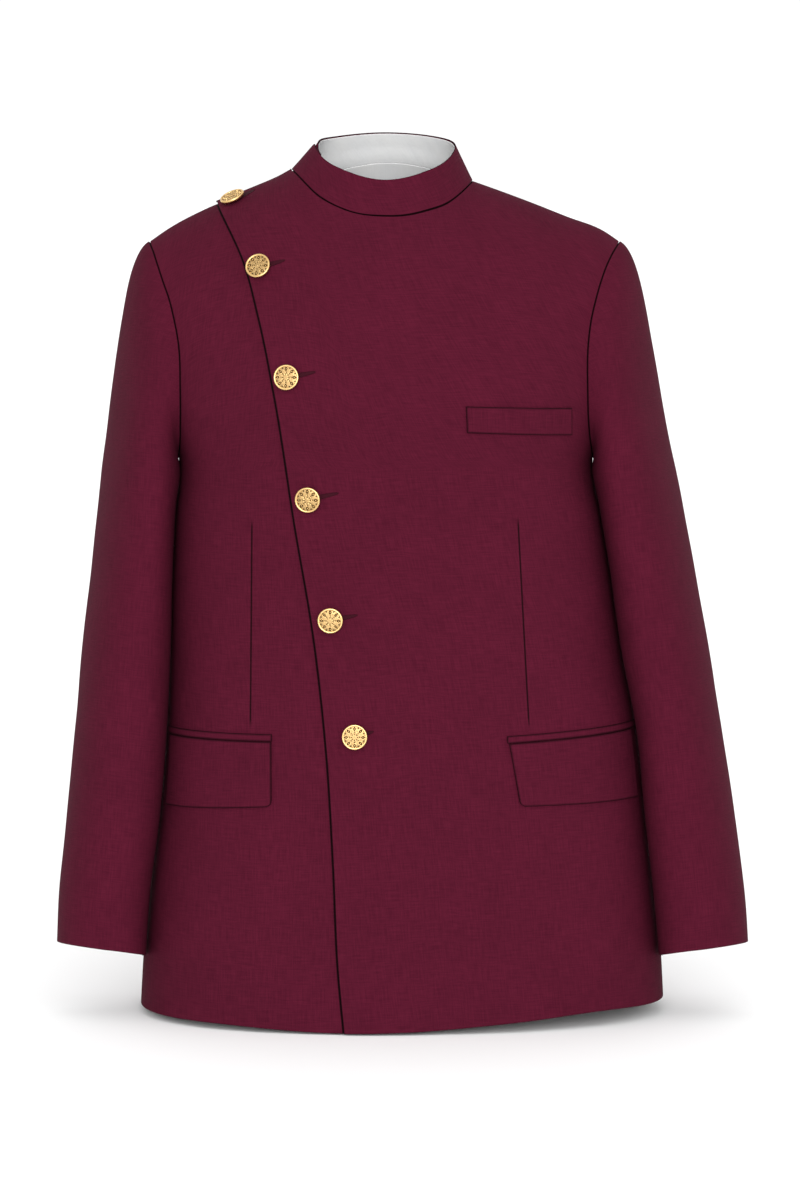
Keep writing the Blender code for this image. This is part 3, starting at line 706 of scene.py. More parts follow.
def lap_height(points):
    """How far the overlap stands proud where the front's lower layer lies beneath it."""
    past = points[..., 0] - under_edge(points[..., 2]) - LAP_START
    return LAP * (1 - ease(past / LAP_FADE))


def front_left_grid():
    side = armhole("left_front", 1)
    xs, zs = top_edge(-1, over_edge(CLOSURE_TOP_Z).item(), side(SHOULDER_END_Z).item())
    grid = panel(-1, over_edge, side, xs, zs, hem_front)
    return moved_out(grid, lap_height(grid))


def front_right_grid():
    side = armhole("right_front", -1)
    xs, zs = top_edge(-1, side(SHOULDER_END_Z).item(), under_edge(CLOSURE_TOP_Z).item())
    grid = panel(-1, side, under_edge, xs, zs, hem_front)
    under = ease((grid[..., 0] - over_edge(grid[..., 2])) / TUCK_FADE)
    return moved_out(grid, -TUCK * under)


def centre_edge(sign):
    def at(z):
        return np.full(np.shape(z), sign * CENTRE_GAP / 2)

    return at


def back_grid(start, end):
    """Half of the back, with its columns running to the right as seen from behind."""
    xs, zs = top_edge(1, start(SHOULDER_END_Z).item(), end(SHOULDER_END_Z).item())
    return panel(1, start, end, xs, zs, hem_back)[:, ::-1]


def below_ridge(grid, gap):
    """A panel's points with its top edge drawn back along its own columns to part a seam."""
    trimmed = grid.copy()
    trimmed[-1] -= unit(grid[-1] - grid[-2]) * gap
    return trimmed


def armhole_loop(front, back):
    """An armhole from its top round the front and the underarm to the back, as a closed line."""
    return np.concatenate([front[SKIRT_ROWS:][::-1], back[SKIRT_ROWS + 1:]])


def along(line, share, values):
    """The values that go with a line's points, at shares of its length."""
    steps = np.linalg.norm(np.diff(line, axis=0), axis=1)
    reached = np.concatenate([[0], np.cumsum(steps)]) / steps.sum()
    return np.stack([np.interp(share, reached, values[:, axis]) for axis in range(3)], axis=-1)


def sleeve_section(sign, turn, z):
    """Points of a sleeve's level section, by angle from its outer side past the front."""
    arm = "right" if sign < 0 else "left"
    columns = (arm + "_in", arm + "_out", "y", "half")
    inner, outer, middle, deep = (smooth_curve(SLEEVES, "z", column)(z) for column in columns)
    lean = SLEEVE_LEAN * deep
    reach = SLEEVE_ROUND / (SLEEVE_ROUND - 1)
    wide = (((outer - inner) / 2) ** reach - lean**reach) ** (1 / reach)
    power = 2 / SLEEVE_ROUND
    side, fore = (np.sign(way) * np.abs(way) ** power for way in (np.cos(turn), np.sin(turn)))
    x = sign * ((inner + outer) / 2 + wide * side - lean * fore)
    return np.stack(np.broadcast_arrays(x, middle - deep * fore, z), axis=-1)


def round_armhole(loop, turn, values):
    """The values that go with an armhole's points, at angles round the arm."""
    share = (turn / (2 * pi)) % 1.0
    half = len(loop) // 2
    front = along(loop[: half + 1], share * 2, values[: half + 1])
    behind = along(loop[half:], share * 2 - 1, values[half:])
    return np.where(share[:, None] <= 0.5, front, behind)


def sleeve_grid(sign, loop, turn):
    """A sleeve piece at angles round the arm, from the cuff up to the armhole."""
    sewn = round_armhole(loop, turn, loop) + np.array([sign * ARMHOLE_GAP, 0, 0])
    bicep = sleeve_section(sign, turn, BICEP_Z)
    down = unit(sleeve_section(sign, turn, BICEP_Z - BICEP_STEP) - bicep)
    distance = np.linalg.norm(bicep - sewn, axis=-1, keepdims=True)
    outward = (1 + np.cos(turn)) / 2
    out, fore, fall = (mix(*ends, outward) for ends in zip(HEAD_INNER[:3], HEAD_OUTER[:3]))
    pull = mix(HEAD_INNER.pull, HEAD_OUTER.pull, outward[:, None] ** 2)
    leave = np.stack([sign * out, -fore * np.sin(turn), -fall], axis=-1) * pull * distance
    arrive = down * HEAD_ARRIVE * distance
    climbs = (np.arange(CAP_RINGS + 1) / CAP_RINGS) ** CAP_CLOSING
    rows = [cubic(sewn, leave, bicep, arrive, t) for t in climbs]
    cuff = CUFF_Z + CUFF_SLANT * np.cos(turn) + CUFF_RISE * np.sin(turn)
    for ring in range(1, ARM_RINGS + 1):
        rows.append(sleeve_section(sign, turn, mix(BICEP_Z, cuff, ring / ARM_RINGS)))
    grid = np.array(rows[::-1])
    angle = np.degrees(turn)[None, :]
    z = grid[..., 2]
    height = ripple(SLEEVE_REACH * np.sin(turn) + sign, z + SLEEVE_REACH * np.cos(turn))
    for around in (angle, angle + 360):
        height += crease_height(SLEEVE_CREASES, around, z, pi / 180 * SLEEVE_REACH)
    below = np.linalg.norm(grid - grid[-1:], axis=-1)
    height *= ease(below / CAP_FADE) * ease((1 + np.cos(turn)) / INNER_FADE)
    height += swell(UNDERARM_PRESS, angle, z) * ease(below / PRESS_FADE)
    return moved_out(grid, -sign * height)


def round_neck(angle, z):
    """Points of the torso's form by angle round the neck, at given heights."""
    x = neck_x(angle)
    in_front = (np.sin(np.radians(angle)) >= 0)[:, None]
    return np.where(in_front, torso_point(x, z, -1), torso_point(x, z, 1))


def lap_rise(angle, points):
    """How the overlap carries points of the neck outward, past the front."""
    height = np.where(angle <= 180, lap_height(points), 0)
    return height[:, None] * form_out(points[:, 0], points[:, 2], -1)


def collar_angles():
    return np.linspace(0, 360 + COLLAR_TUCK, COLLAR_COLUMNS + 1)


def collar_grid(rises, inward, drop=0.0):
    """The collar's points at shares of its height, from its lapped end past the front.

    inward is how far each row lies inside the outer face, drop how far below the neck seam a row is added.
    """
    angle = collar_angles()
    turn = np.radians(angle)
    low = round_neck(angle, neck_seam(angle))
    top = np.stack([
        COLLAR_MIDDLE - COLLAR_HALF * np.cos(turn),
        COLLAR_Y - np.where(np.sin(turn) > 0, COLLAR_FRONT, COLLAR_BACK) * np.sin(turn),
        neck_top(angle) - COLLAR_TUCK_DROP * ease((angle - COLLAR_TUCK_START) / COLLAR_TUCK_RUN),
    ], axis=-1)
    tucked = ease((angle - COLLAR_SHIFT_START) / COLLAR_SHIFT_RUN)[:, None]
    aside = np.stack([np.cos(turn), np.sin(turn), np.zeros_like(turn)], axis=-1) * COLLAR_SHIFT * tucked
    lapped = lap_rise(angle, low)
    grid = []
    if drop:
        below = round_neck(angle, neck_seam(angle) - drop)
        grid.append(mix(below, mix(low, top, rises[0] / 2), tucked) + lapped + aside)
        inward = np.concatenate([inward[:1], inward])
    for rise in rises:
        point = mix(low, top, rise) + aside * (1 - COLLAR_CLOSING * rise) + lapped * (1 - rise)
        point[:, 2] -= COLLAR_END_DROP * (1 - ease(angle / COLLAR_END_RUN)) * (1 - rise)
        grid.append(point)
    return moved_out(np.array(grid), -inward[:, None])


def collar_allowance(collar):
    """The folded cloth inside the collar's seam, past its front from end to end."""
    angle = collar_angles()
    sewn = (angle > COLLAR_SEWN[0]) & (angle < COLLAR_SEWN[1])
    angle = angle[sewn]
    lines = [round_neck(angle, neck_seam(angle) - reach) for reach in (0, ALLOWANCE_REACH)]
    lines = [line + lap_rise(angle, line) for line in lines]
    return allowance(collar[0, sewn], collar[1, sewn], *lines, -1)


def neck_lining_grid():
    """The half moon of lining inside the back, below the collar seam."""
    angle = np.linspace(*NECK_LINING_ANGLES, NECK_LINING_COLUMNS + 1)
    depth = NECK_LINING_END + NECK_LINING_DEPTH * np.abs(np.sin(np.radians(angle)))
    share = np.linspace(1, 0, NECK_LINING_ROWS + 1)[:, None]
    grid = torso_point(neck_x(angle), neck_seam(angle) - NECK_LINING_TOP - depth * share, 1)
    return moved_out(grid, -CLOTH - LINING_GAP)


def patch_grid(patch):
    """A pocket piece's points on the creased front, moved out by its own wall and a layer's gap."""
    middle_z = (patch.top_start + patch.bottom_start) / 2
    columns = max(8, round((patch.end - patch.start) / PATCH_STEP))
    rows = max(3, round((patch.top_start - patch.bottom_start) / PATCH_STEP))
    ends = side_angle(np.array([patch.start, patch.end]), middle_z)
    across = side_x(np.linspace(*ends, columns + 1), middle_z)
    share = (across - patch.start) / (patch.end - patch.start)
    down = np.linspace(1, 0, rows + 1)[:, None]
    start_z = mix(patch.top_start, patch.bottom_start, down)
    z = mix(start_z, mix(patch.top_end, patch.bottom_end, down), share)
    growth = half_width(across, z) / half_width(across, middle_z)
    flap = patch.top_start - patch.bottom_start > LEAST_FLAP
    x = across * (1 + (growth - 1) * np.abs(share - (patch.start < 0)) * flap)
    grid = torso_point(x + patch.lean * down * (1 - share), z, -1)
    return moved_out(grid, LAYER_GAP + patch.wall + body_creases(grid, -1))


def run_lengths(grid, axis):
    """Distances along the grid's lines from their first point."""
    steps = np.linalg.norm(np.diff(grid, axis=axis), axis=-1)
    start = np.zeros_like(np.take(steps, [0], axis=axis))
    return np.concatenate([start, np.cumsum(steps, axis=axis)], axis=axis)


def add_lines(grid, axis, last):
    """Extra lines of points close to one border, for its rounded edge."""
    lines = np.moveaxis(grid, axis, 0)
    lines = lines[::-1] if last else lines
    step = lines[1] - lines[0]
    length = np.linalg.norm(step, axis=-1, keepdims=True)
    extra = [lines[0] + step * np.minimum(distance / length, MOST_STEP) for distance in EDGE_STEPS]
    lines = np.concatenate([lines[:1], extra, lines[1:]])
    lines = lines[::-1] if last else lines
    return np.moveaxis(lines, 0, axis)


def allowance(near, near_in, far, far_in, sign):
    """The folded cloth inside a seam, from its two border lines and the lines next to them.

    It gives points, faces and 0 for a point in the seam's depth, which paints shade on it, else 1. sign is
    1 where the near piece lies on the right of the seam seen from outside, along the lines.
    """
    ahead = unit(np.gradient(near, axis=0))
    into = [near_in - near, far_in - far]
    into_near, into_far = (unit(way - ahead * (way * ahead).sum(axis=-1, keepdims=True)) for way in into)
    out_near = np.cross(into_near, ahead) * sign
    out_far = np.cross(ahead, into_far) * sign
    out = unit(out_near + out_far + into_near + into_far)
    lines = []
    for depth in (ALLOWANCE_DEPTH, ALLOWANCE_DEPTH + ALLOWANCE_WALL):
        low, high = near - out_near * depth, far - out_far * depth
        across = [
            low + into_near * ALLOWANCE_REACH,
            low + into_near * ALLOWANCE_BEND,
            (near + far) / 2 - out * depth,
            high + into_far * ALLOWANCE_BEND,
            high + into_far * ALLOWANCE_REACH,
        ]
        lines += across[::-1] if lines else across
    order = -1 if sign > 0 else 1
    lit = [1, 0, 0, 0, 1, 1, 1, 1, 1, 1][::order]
    points = np.stack(lines[::order], axis=1)
    return points.reshape(-1, 3), ring_faces(*points.shape[:2]), np.tile(lit, len(near))


def rounded_corner(grid, low_row, low_column, radius):
    """The grid with one corner's outline turned into an arc."""
    up, across = run_lengths(grid, 0), run_lengths(grid, 1)
    up = up if low_row else up[-1:] - up
    across = across if low_column else across[:, -1:] - across
    along_rows = np.gradient(grid, axis=1) * (1 if low_column else -1)
    along_columns = np.gradient(grid, axis=0) * (1 if low_row else -1)
    along_rows /= np.linalg.norm(along_rows, axis=-1, keepdims=True)
    along_columns /= np.linalg.norm(along_columns, axis=-1, keepdims=True)
    u = np.clip(1 - across / radius, 0, 1)
    v = np.clip(1 - up / radius, 0, 1)
    inward_u = u - u * np.sqrt(1 - v**2 / 2)
    inward_v = v - v * np.sqrt(1 - u**2 / 2)
    return grid + radius * (inward_u[..., None] * along_rows + inward_v[..., None] * along_columns)


def mesh_piece(name, points, faces, materials, uvs=None, face_material=None):
    """A smooth mesh object from arrays. uvs are given by point."""
    data = bpy.data.meshes.new(name)
    data.from_pydata(np.asarray(points).tolist(), [], [list(face) for face in faces])
    data.shade_smooth()
    for finish in materials:
        data.materials.append(finish)
    if face_material is not None:
        data.polygons.foreach_set("material_index", np.asarray(face_material, np.int32))
    if uvs is not None:
        corner = np.empty(len(data.loops), np.int32)
        data.loops.foreach_get("vertex_index", corner)
        layer = data.uv_layers.new(name="cloth")
        layer.uv.foreach_set("vector", np.asarray(uvs, np.float32)[corner].ravel())
    piece = bpy.data.objects.new(name, data)
    bpy.context.scene.collection.objects.link(piece)
    return piece


def grid_faces(index):
    corners = [index[:-1, :-1], index[:-1, 1:], index[1:, 1:], index[1:, :-1]]
    return np.stack(corners, axis=-1).reshape(-1, 4)


def ring_faces(count, sides):
    """Faces round a row of rings of points, and over both its ends."""
    index = np.arange(count * sides).reshape(count, sides)
    faces = grid_faces(np.concatenate([index, index[:, :1]], axis=1)).tolist()
    return faces + [index[0, ::-1].tolist(), index[-1].tolist()]


def points_of(data):
    return np.array([tuple(vertex.co) for vertex in data.vertices])


def add_values(piece, name, values):
    """A value for each of a piece's points, for its material to read."""
    layer = piece.data.attributes.new(name, "FLOAT", "POINT")
    layer.data.foreach_set("value", np.asarray(values, np.float32))


def cloth_piece(name, grid, wall, material, origin=None, allowances=(), line=PAINTED_SEAM_WIDTH):
    """A closed thin shell of cloth on a grid of outer points, its edges rounded.

    origin is the row and column from which the weave is measured, line how wide the painted shade along its
    border is.
    """
    for axis in (0, 1):
        for last in (False, True):
            grid = add_lines(grid, axis, last)
    up, across = run_lengths(grid, 0), run_lengths(grid, 1)
    edge = np.minimum(np.minimum(up, up[-1:] - up), np.minimum(across, across[:, -1:] - across))
    turn = np.clip(1 - edge / EDGE_ROLL, 0, 1)
    sunk = wall / 2 * (1 - np.sqrt(1 - turn**2))
    rows, columns = grid.shape[:2]
    index = np.arange(rows * columns).reshape(rows, columns)
    behind = index.copy()
    inside = (slice(1, -1), slice(1, -1))
    behind[inside] = rows * columns + np.arange((rows - 2) * (columns - 2)).reshape(rows - 2, -1)
    points = np.concatenate([
        moved_out(grid, -sunk).reshape(-1, 3),
        moved_out(grid, sunk - wall)[inside].reshape(-1, 3),
    ])
    front = grid_faces(index)
    faces = np.concatenate([front, grid_faces(behind)[:, ::-1]]).tolist()
    row, column = origin or (0, columns // 2)
    weave = np.stack([across - across[:, [column]], up - up[[row]]], axis=-1) + grid[row, column][[0, 2]]
    uvs = np.concatenate([weave.reshape(-1, 2), weave[inside].reshape(-1, 2)])
    distance = np.concatenate([edge.ravel(), edge[inside].ravel()])
    # Points in a seam's depth get distance 0, and so the seam's painted shade.
    for folded, folded_faces, lit in allowances:
        faces.extend([[len(points) + corner for corner in face] for face in folded_faces])
        points = np.concatenate([points, folded])
        uvs = np.concatenate([uvs, folded[:, [0, 2]]])
        distance = np.concatenate([distance, line * lit])
    piece = mesh_piece(name, points, faces, [material], uvs)
    add_values(piece, "seam", np.clip(distance / line, 0, 1))
    return piece


def node(tree, kind, inputs=None, **settings):
    """A node with its settings, and its inputs as values or other nodes' outputs."""
    made = tree.nodes.new(kind)
    for name, value in settings.items():
        setattr(made, name, value)
    for name, value in (inputs or {}).items():
        if isinstance(value, bpy.types.NodeSocket):
            tree.links.new(value, made.inputs[name])
        else:
            made.inputs[name].default_value = value
    return made


def maths(tree, operation, first, second=0.0):
    return node(tree, "ShaderNodeMath", {0: first, 1: second}, operation=operation).outputs[0]


def ranged(tree, value, low, high, to_low=0.0, to_high=1.0):
    """A value carried from one range to another, and held at its ends."""
    inputs = {"Value": value, "From Min": low, "From Max": high, "To Min": to_low, "To Max": to_high}
    return node(tree, "ShaderNodeMapRange", inputs).outputs[0]


def stored(tree, name):
    """A value that add_values has given to the piece."""
    return node(tree, "ShaderNodeAttribute", attribute_name=name).outputs["Fac"]


def noise(tree, place, scale, detail):
    return node(tree, "ShaderNodeTexNoise", {"Vector": place, "Scale": scale, "Detail": detail})


def drawn_out(tree, place, threads):
    """Noise drawn out along one thread direction."""
    inputs = {"Vector": place, "Scale": (threads.across, threads.up, 1.0), "Location": threads.offset}
    mapped = node(tree, "ShaderNodeMapping", inputs)
    made = noise(tree, mapped.outputs[0], 1.0, threads.detail)
    made.inputs["Roughness"].default_value = THREAD_ROUGHNESS
    return made.outputs["Fac"]


def blended(tree, share, first, second):
    inputs = {"Factor": share, "A": (*first, 1.0), "B": (*second, 1.0)}
    return node(tree, "ShaderNodeMix", inputs, data_type="RGBA").outputs["Result"]


def relief(tree, first, first_share, second, second_share):
    """The height that two values make together, each by its own share."""
    part = maths(tree, "MULTIPLY", first, first_share)
    return maths(tree, "ADD", part, maths(tree, "MULTIPLY", second, second_share))


def blank_material(name):
    made = bpy.data.materials.new(name)
    made.use_nodes = True
    made.node_tree.nodes.clear()
    return made, made.node_tree


def finish_material(tree, colour, settings, height=None, strength=0.0, depth=0.0):
    """The surface's shader, with its fine relief from a height if there is one."""
    inputs = {"Base Color": colour, **settings}
    if height is not None:
        raised = {"Strength": strength, "Distance": depth, "Height": height}
        inputs["Normal"] = node(tree, "ShaderNodeBump", raised).outputs[0]
    shader = node(tree, "ShaderNodeBsdfPrincipled", inputs)
    node(tree, "ShaderNodeOutputMaterial", {"Surface": shader.outputs[0]})


def cloth_material():
    made, tree = blank_material("maroon_suiting")
    place = node(tree, "ShaderNodeUVMap", uv_map="cloth").outputs[0]
    warp, weft, broad = (drawn_out(tree, place, threads) for threads in SUITING)
    threads = maths(tree, "MULTIPLY", maths(tree, "ADD", warp, weft), 0.5)
    split = node(tree, "ShaderNodeSeparateXYZ", {0: place}).outputs
    turns = 2 * pi * THREADS_A_METRE
    waves = [maths(tree, "SINE", maths(tree, "MULTIPLY", split[way], turns)) for way in ("X", "Y")]
    weave = maths(tree, "MULTIPLY", *waves)
    cloth = blended(tree, ranged(tree, threads, *SLUB_RANGE), CLOTH_DARK, CLOTH_PALE)
    patchy = ranged(tree, broad, *PATCHY_SHADE)
    # Painted shade along seams and edges, along each dart's fold, and the overlap's shadow beside its edge.
    seam = ranged(tree, stored(tree, "seam"), *SEAM_SHADE)
    line = ranged(tree, maths(tree, "ABSOLUTE", stored(tree, "dart_across")), *DART_SHADE)
    dart = maths(tree, "SUBTRACT", 1.0, maths(tree, "MULTIPLY", line, stored(tree, "dart_on")))
    beside = ranged(tree, stored(tree, "overlap_near"), *OVERLAP_SHADE)
    lines = maths(tree, "MULTIPLY", maths(tree, "MULTIPLY", seam, beside), dart)
    strength = maths(tree, "MULTIPLY", patchy, lines)
    toned = node(tree, "ShaderNodeVectorMath", {0: cloth, "Scale": strength}, operation="SCALE")
    height = relief(tree, weave, WEAVE_RELIEF, threads, SLUB_RELIEF)
    settings = {"Roughness": 0.9, "Specular IOR Level": 0.06}
    finish_material(tree, toned.outputs[0], settings, height, strength=0.35, depth=0.00012)
    return made


def lining_material():
    made, tree = blank_material("pale_lining")
    place = node(tree, "ShaderNodeUVMap", uv_map="cloth").outputs[0]
    warp, broad = (drawn_out(tree, place, threads) for threads in LINING_CLOTH)
    colour = blended(tree, ranged(tree, broad, *BROAD_RANGE), LINING_DARK, LINING_PALE)
    height = relief(tree, broad, LINING_BROAD_RELIEF, warp, LINING_WARP_RELIEF)
    settings = {"Roughness": 0.48, "Specular IOR Level": 0.35}
    finish_material(tree, colour, settings, height, strength=0.4, depth=0.0004)
    return made


def metal_material(name, colour, roughness):
    made, tree = blank_material(name)
    place = node(tree, "ShaderNodeTexCoord").outputs["Object"]
    worn = noise(tree, place, WORN_SCALE, 3.0).outputs["Fac"]
    rough = ranged(tree, worn, 0.0, 1.0, roughness - WORN_SMOOTH, roughness + WORN_ROUGH)
    settings = {"Metallic": 1.0, "Roughness": rough}
    finish_material(tree, (*colour, 1.0), settings, worn, strength=0.15, depth=0.00005)
    return made


def thread_material():
    made, tree = blank_material("buttonhole_thread")
    place = node(tree, "ShaderNodeTexCoord").outputs["Object"]
    twist = noise(tree, place, TWIST_SCALE, 1.0).outputs["Fac"]
    settings = {"Roughness": 0.8, "Specular IOR Level": 0.1}
    colour = blended(tree, twist, THREAD_DARK, THREAD_PALE)
    finish_material(tree, colour, settings, twist, strength=0.4, depth=0.0001)
    return made


def floor_material():
    made, tree = blank_material("pale_floor")
    finish_material(tree, (*[FLOOR_SHADE] * 3, 1.0), {"Roughness": 0.7, "Specular IOR Level": 0.1})
    return made


def turned(profile, steps):
    """Points and faces of a profile of radii and heights turned about +Z, closed at both ends."""
    turn = np.linspace(0, 2 * pi, steps, endpoint=False)
    rings = [np.stack([r * np.cos(turn), r * np.sin(turn), np.full(steps, h)], axis=-1) for r, h in profile]
    return np.concatenate(rings), ring_faces(len(profile), steps)


def tube(path, radius, sides):
    """Points and faces of a closed wire that follows a loop of points."""
    ahead = unit(np.roll(path, -1, axis=0) - np.roll(path, 1, axis=0))
    up = np.array([0.0, 0.0, 1.0])
    aside = np.cross(ahead, up)
    turn = np.linspace(0, 2 * pi, sides, endpoint=False)[:, None]
    rings = path[:, None] + radius * (aside[:, None] * np.cos(turn) + up * np.sin(turn))
    index = np.arange(len(path) * sides).reshape(len(path), sides)
    index = np.concatenate([index, index[:, :1]], axis=1)
    index = np.concatenate([index, index[:1]], axis=0)
    return rings.reshape(-1, 3), grid_faces(index)[:, ::-1].tolist()


def joined(parts):
    """One set of points, faces and face materials from several, each with its material's number."""
    points, faces, numbers = [], [], []
    for part_points, part_faces, number in parts:
        start = len(points)
        points.extend(np.asarray(part_points).tolist())
        faces.extend([[start + corner for corner in face] for face in part_faces])
        numbers.extend([number] * len(part_faces))
    return points, faces, numbers


def geometry_group(name, **sockets):
    """A geometry node group with inputs of the given kinds and a material."""
    group = bpy.data.node_groups.new(name, "GeometryNodeTree")
    for label, kind in [("Geometry", "Geometry"), *sockets.items(), ("Material", "Material")]:
        group.interface.new_socket(label, in_out="INPUT", socket_type="NodeSocket" + kind)
    group.interface.new_socket("Geometry", in_out="OUTPUT", socket_type="NodeSocketGeometry")
    return group, group.nodes.new("NodeGroupInput").outputs


def finish_group(group, geometry, given):
    """The group, once its geometry has been given its material and led out."""
    inputs = {"Geometry": geometry, "Material": given["Material"]}
    painted = node(group, "GeometryNodeSetMaterial", inputs)
    node(group, "NodeGroupOutput", {"Geometry": painted.outputs[0]})
    return group


def applied(source, group, values):
    """The points and faces that a geometry node group makes of an object, which is then removed."""
    modifier = source.modifiers.new("made", "NODES")
    modifier.node_group = group
    for item in group.interface.items_tree:
        if item.item_type == "SOCKET" and item.in_out == "INPUT" and item.name in values:
            modifier[item.identifier] = values[item.name]
    source.update_tag()
    graph = bpy.context.evaluated_depsgraph_get()
    made = bpy.data.meshes.new_from_object(source.evaluated_get(graph), depsgraph=graph)
    bpy.data.objects.remove(source)
    return points_of(made), [list(face.vertices) for face in made.polygons]


def ring_group():
    """Copies of a motif, drawn at the middle with its outer side along +Y, set round a circle."""
    group, given = geometry_group("motif_ring", Count="Int", Radius="Float", Height="Float", Turn="Float")
    circle = node(group, "GeometryNodeMeshCircle", {"Vertices": given["Count"], "Radius": given["Radius"]})
    place = node(group, "GeometryNodeInputPosition").outputs[0]
    facing = node(group, "FunctionNodeAlignRotationToVector", {"Vector": place}, axis="Y", pivot_axis="Z")
    placed = node(group, "GeometryNodeInstanceOnPoints", {
        "Points": circle.outputs["Mesh"],
        "Instance": given["Geometry"],
        "Rotation": facing.outputs[0],
    })
    solid = node(group, "GeometryNodeRealizeInstances", {"Geometry": placed.outputs[0]})
    moved = node(group, "GeometryNodeTransform", {
        "Geometry": solid.outputs[0],
        "Translation": node(group, "ShaderNodeCombineXYZ", {"Z": given["Height"]}).outputs[0],
        "Rotation": node(group, "ShaderNodeCombineXYZ", {"Z": given["Turn"]}).outputs[0],
    })
    return finish_group(group, moved.outputs[0], given)


def stitch_group():
    """Short thread stitches laid across a path at even steps, lying on a surface that faces Outward."""
    group, given = geometry_group(
        "stitches_across", Spacing="Float", Length="Float", Thread="Float", Outward="Vector"
    )
    steps = {"Curve": given["Geometry"], "Length": given["Spacing"]}
    points = node(group, "GeometryNodeCurveToPoints", steps, mode="LENGTH").outputs
    along_path = node(group, "FunctionNodeAlignRotationToVector", {"Vector": points["Tangent"]}, axis="X")
    turns = {"Rotation": along_path.outputs[0], "Vector": given["Outward"]}
    facing = node(group, "FunctionNodeAlignRotationToVector", turns, axis="Z", pivot_axis="X")
    ball = node(group, "GeometryNodeMeshUVSphere", {"Segments": 6, "Rings": 6, "Radius": 0.5})
    sides = {"X": given["Thread"], "Y": given["Length"], "Z": given["Thread"]}
    size = node(group, "ShaderNodeCombineXYZ", sides)
    placed = node(group, "GeometryNodeInstanceOnPoints", {
        "Points": points["Points"],
        "Instance": ball.outputs["Mesh"],
        "Rotation": facing.outputs[0],
        "Scale": size.outputs[0],
    })
    solid = node(group, "GeometryNodeRealizeInstances", {"Geometry": placed.outputs[0]})
    smooth = node(group, "GeometryNodeSetShadeSmooth", {"Geometry": solid.outputs[0]})
    return finish_group(group, smooth.outputs[0], given)


def front_frame(x, z, lift):
    """A point above the overlap's outer face and the face's outward direction there."""
    near = np.array([-BUTTON_PROBE, BUTTON_PROBE])
    out = unit(normals(torso_point(x + near[None, :], z + near[:, None], -1)).mean(axis=(0, 1)))
    return torso_point(x, z, -1) + out * lift, out


def petal(width, length, count):
    """A pointed loop, with its tips along Y."""
    half = np.linspace(-1, 1, count)
    x = width / 2 * (1 - half**2)
    y = length / 2 * half
    right = np.stack([x, y, np.zeros(count)], axis=-1)
    left = np.stack([-x[1:-1], y[1:-1], np.zeros(count - 2)], axis=-1)[::-1]
    return np.concatenate([right, left])


def button_shapes():
    """Points and faces of a button's body and of each of its motifs."""
    wide = petal(*PETAL)[:, [1, 0, 2]]
    turn = np.linspace(0, 2 * pi, EYE_POINTS, endpoint=False)
    eye = EYE_RADIUS * np.stack([np.cos(turn), np.sin(turn), 0 * turn], axis=-1)
    return {
        "rim": turned(RIM, BODY_STEPS),
        "disc": turned(DISC, BODY_STEPS),
        "bead": turned(BEAD, BEAD_STEPS),
        "dot": turned(DOT, DOT_STEPS),
        "petal": tube(wide, *PETAL_WIRE),
        "petal field": (wide * PETAL_FIELD, [list(range(len(wide)))]),
        "eye": tube(eye, *EYE_WIRE),
        "leaf": tube(petal(*LEAF), *LEAF_WIRE),
    }


def button_mesh(finishes):
    """A cast button with a plain rim, a ring of pointed petals and a small flower in the middle, its sunk
    field and piercings darkened with painted shade.
    """
    ring = ring_group()
    shapes = button_shapes()
    parts = []
    for motif in MOTIFS:
        points, faces = shapes[motif.shape]
        if motif.count > 1:
            source = mesh_piece("motif", points, faces, finishes[:1])
            values = {name: getattr(motif, name.lower()) for name in ("Count", "Radius", "Height", "Turn")}
            values["Material"] = finishes[motif.finish]
            points, faces = applied(source, ring, values)
        else:
            points = points + np.array([0.0, 0.0, motif.height])
        parts.append((points, faces, motif.finish))
    return joined(parts)


def buttons(finishes):
    points, faces, numbers = button_mesh(finishes)
    for number, place in enumerate(BUTTONS, 1):
        seat, out = front_frame(place.x, place.z, LAP + SEAM_GAP)
        piece = mesh_piece("cast_button_%d" % number, points, faces, finishes, face_material=numbers)
        piece.data.set_sharp_from_angle(angle=BUTTON_SHARP)
        turn = Vector(out).to_track_quat("Z", "Y").to_matrix().to_4x4()
        piece.data.transform(Matrix.Translation(Vector(seat)) @ turn)
        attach(piece, "root")
        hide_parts("button_%d" % number)


def buttonholes(thread):
    """Keyhole buttonholes, each a slit under its button that closes to a point past its rim."""
    group = stitch_group()
    for number, place in enumerate(BUTTONS, 1):
        start = np.array([place.x, place.z])
        run = np.array([place.tip_x, place.tip_z]) - start
        side = np.array([-run[1], run[0]]) / np.hypot(*run)
        share = np.linspace(0, 1, SLIT_STEPS)[:, None]
        middle = start + run * share
        half = side * SLIT_HALF * np.sqrt(1 - share)
        path = np.concatenate([middle + half, (middle - half)[-2::-1]])
        curve = bpy.data.curves.new("slit", "CURVE")
        curve.dimensions = "3D"
        line = curve.splines.new("POLY")
        line.points.add(len(path) - 1)
        for point, (x, z) in zip(line.points, path):
            point.co = (*front_frame(x, z, LAP + STITCH_LIFT)[0], 1.0)
        source = bpy.data.objects.new("slit", curve)
        bpy.context.scene.collection.objects.link(source)
        out = front_frame(place.x, place.z, 0.0)[1]
        stitches = applied(source, group, {**STITCH, "Outward": tuple(out), "Material": thread})
        across = middle[:, None] + half[:, None] * np.array([[-1.0], [0.0], [1.0]])
        slit = [front_frame(x, z, LAP + SLIT_LIFT)[0] for x, z in across.reshape(-1, 2)]
        slit_faces = grid_faces(np.arange(len(slit)).reshape(-1, 3)).tolist()
        points, faces, _ = joined([(*stitches, 0), (slit, slit_faces, 0)])
        piece = mesh_piece("buttonhole_%d" % number, points, faces, [thread])
        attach(piece, "root")


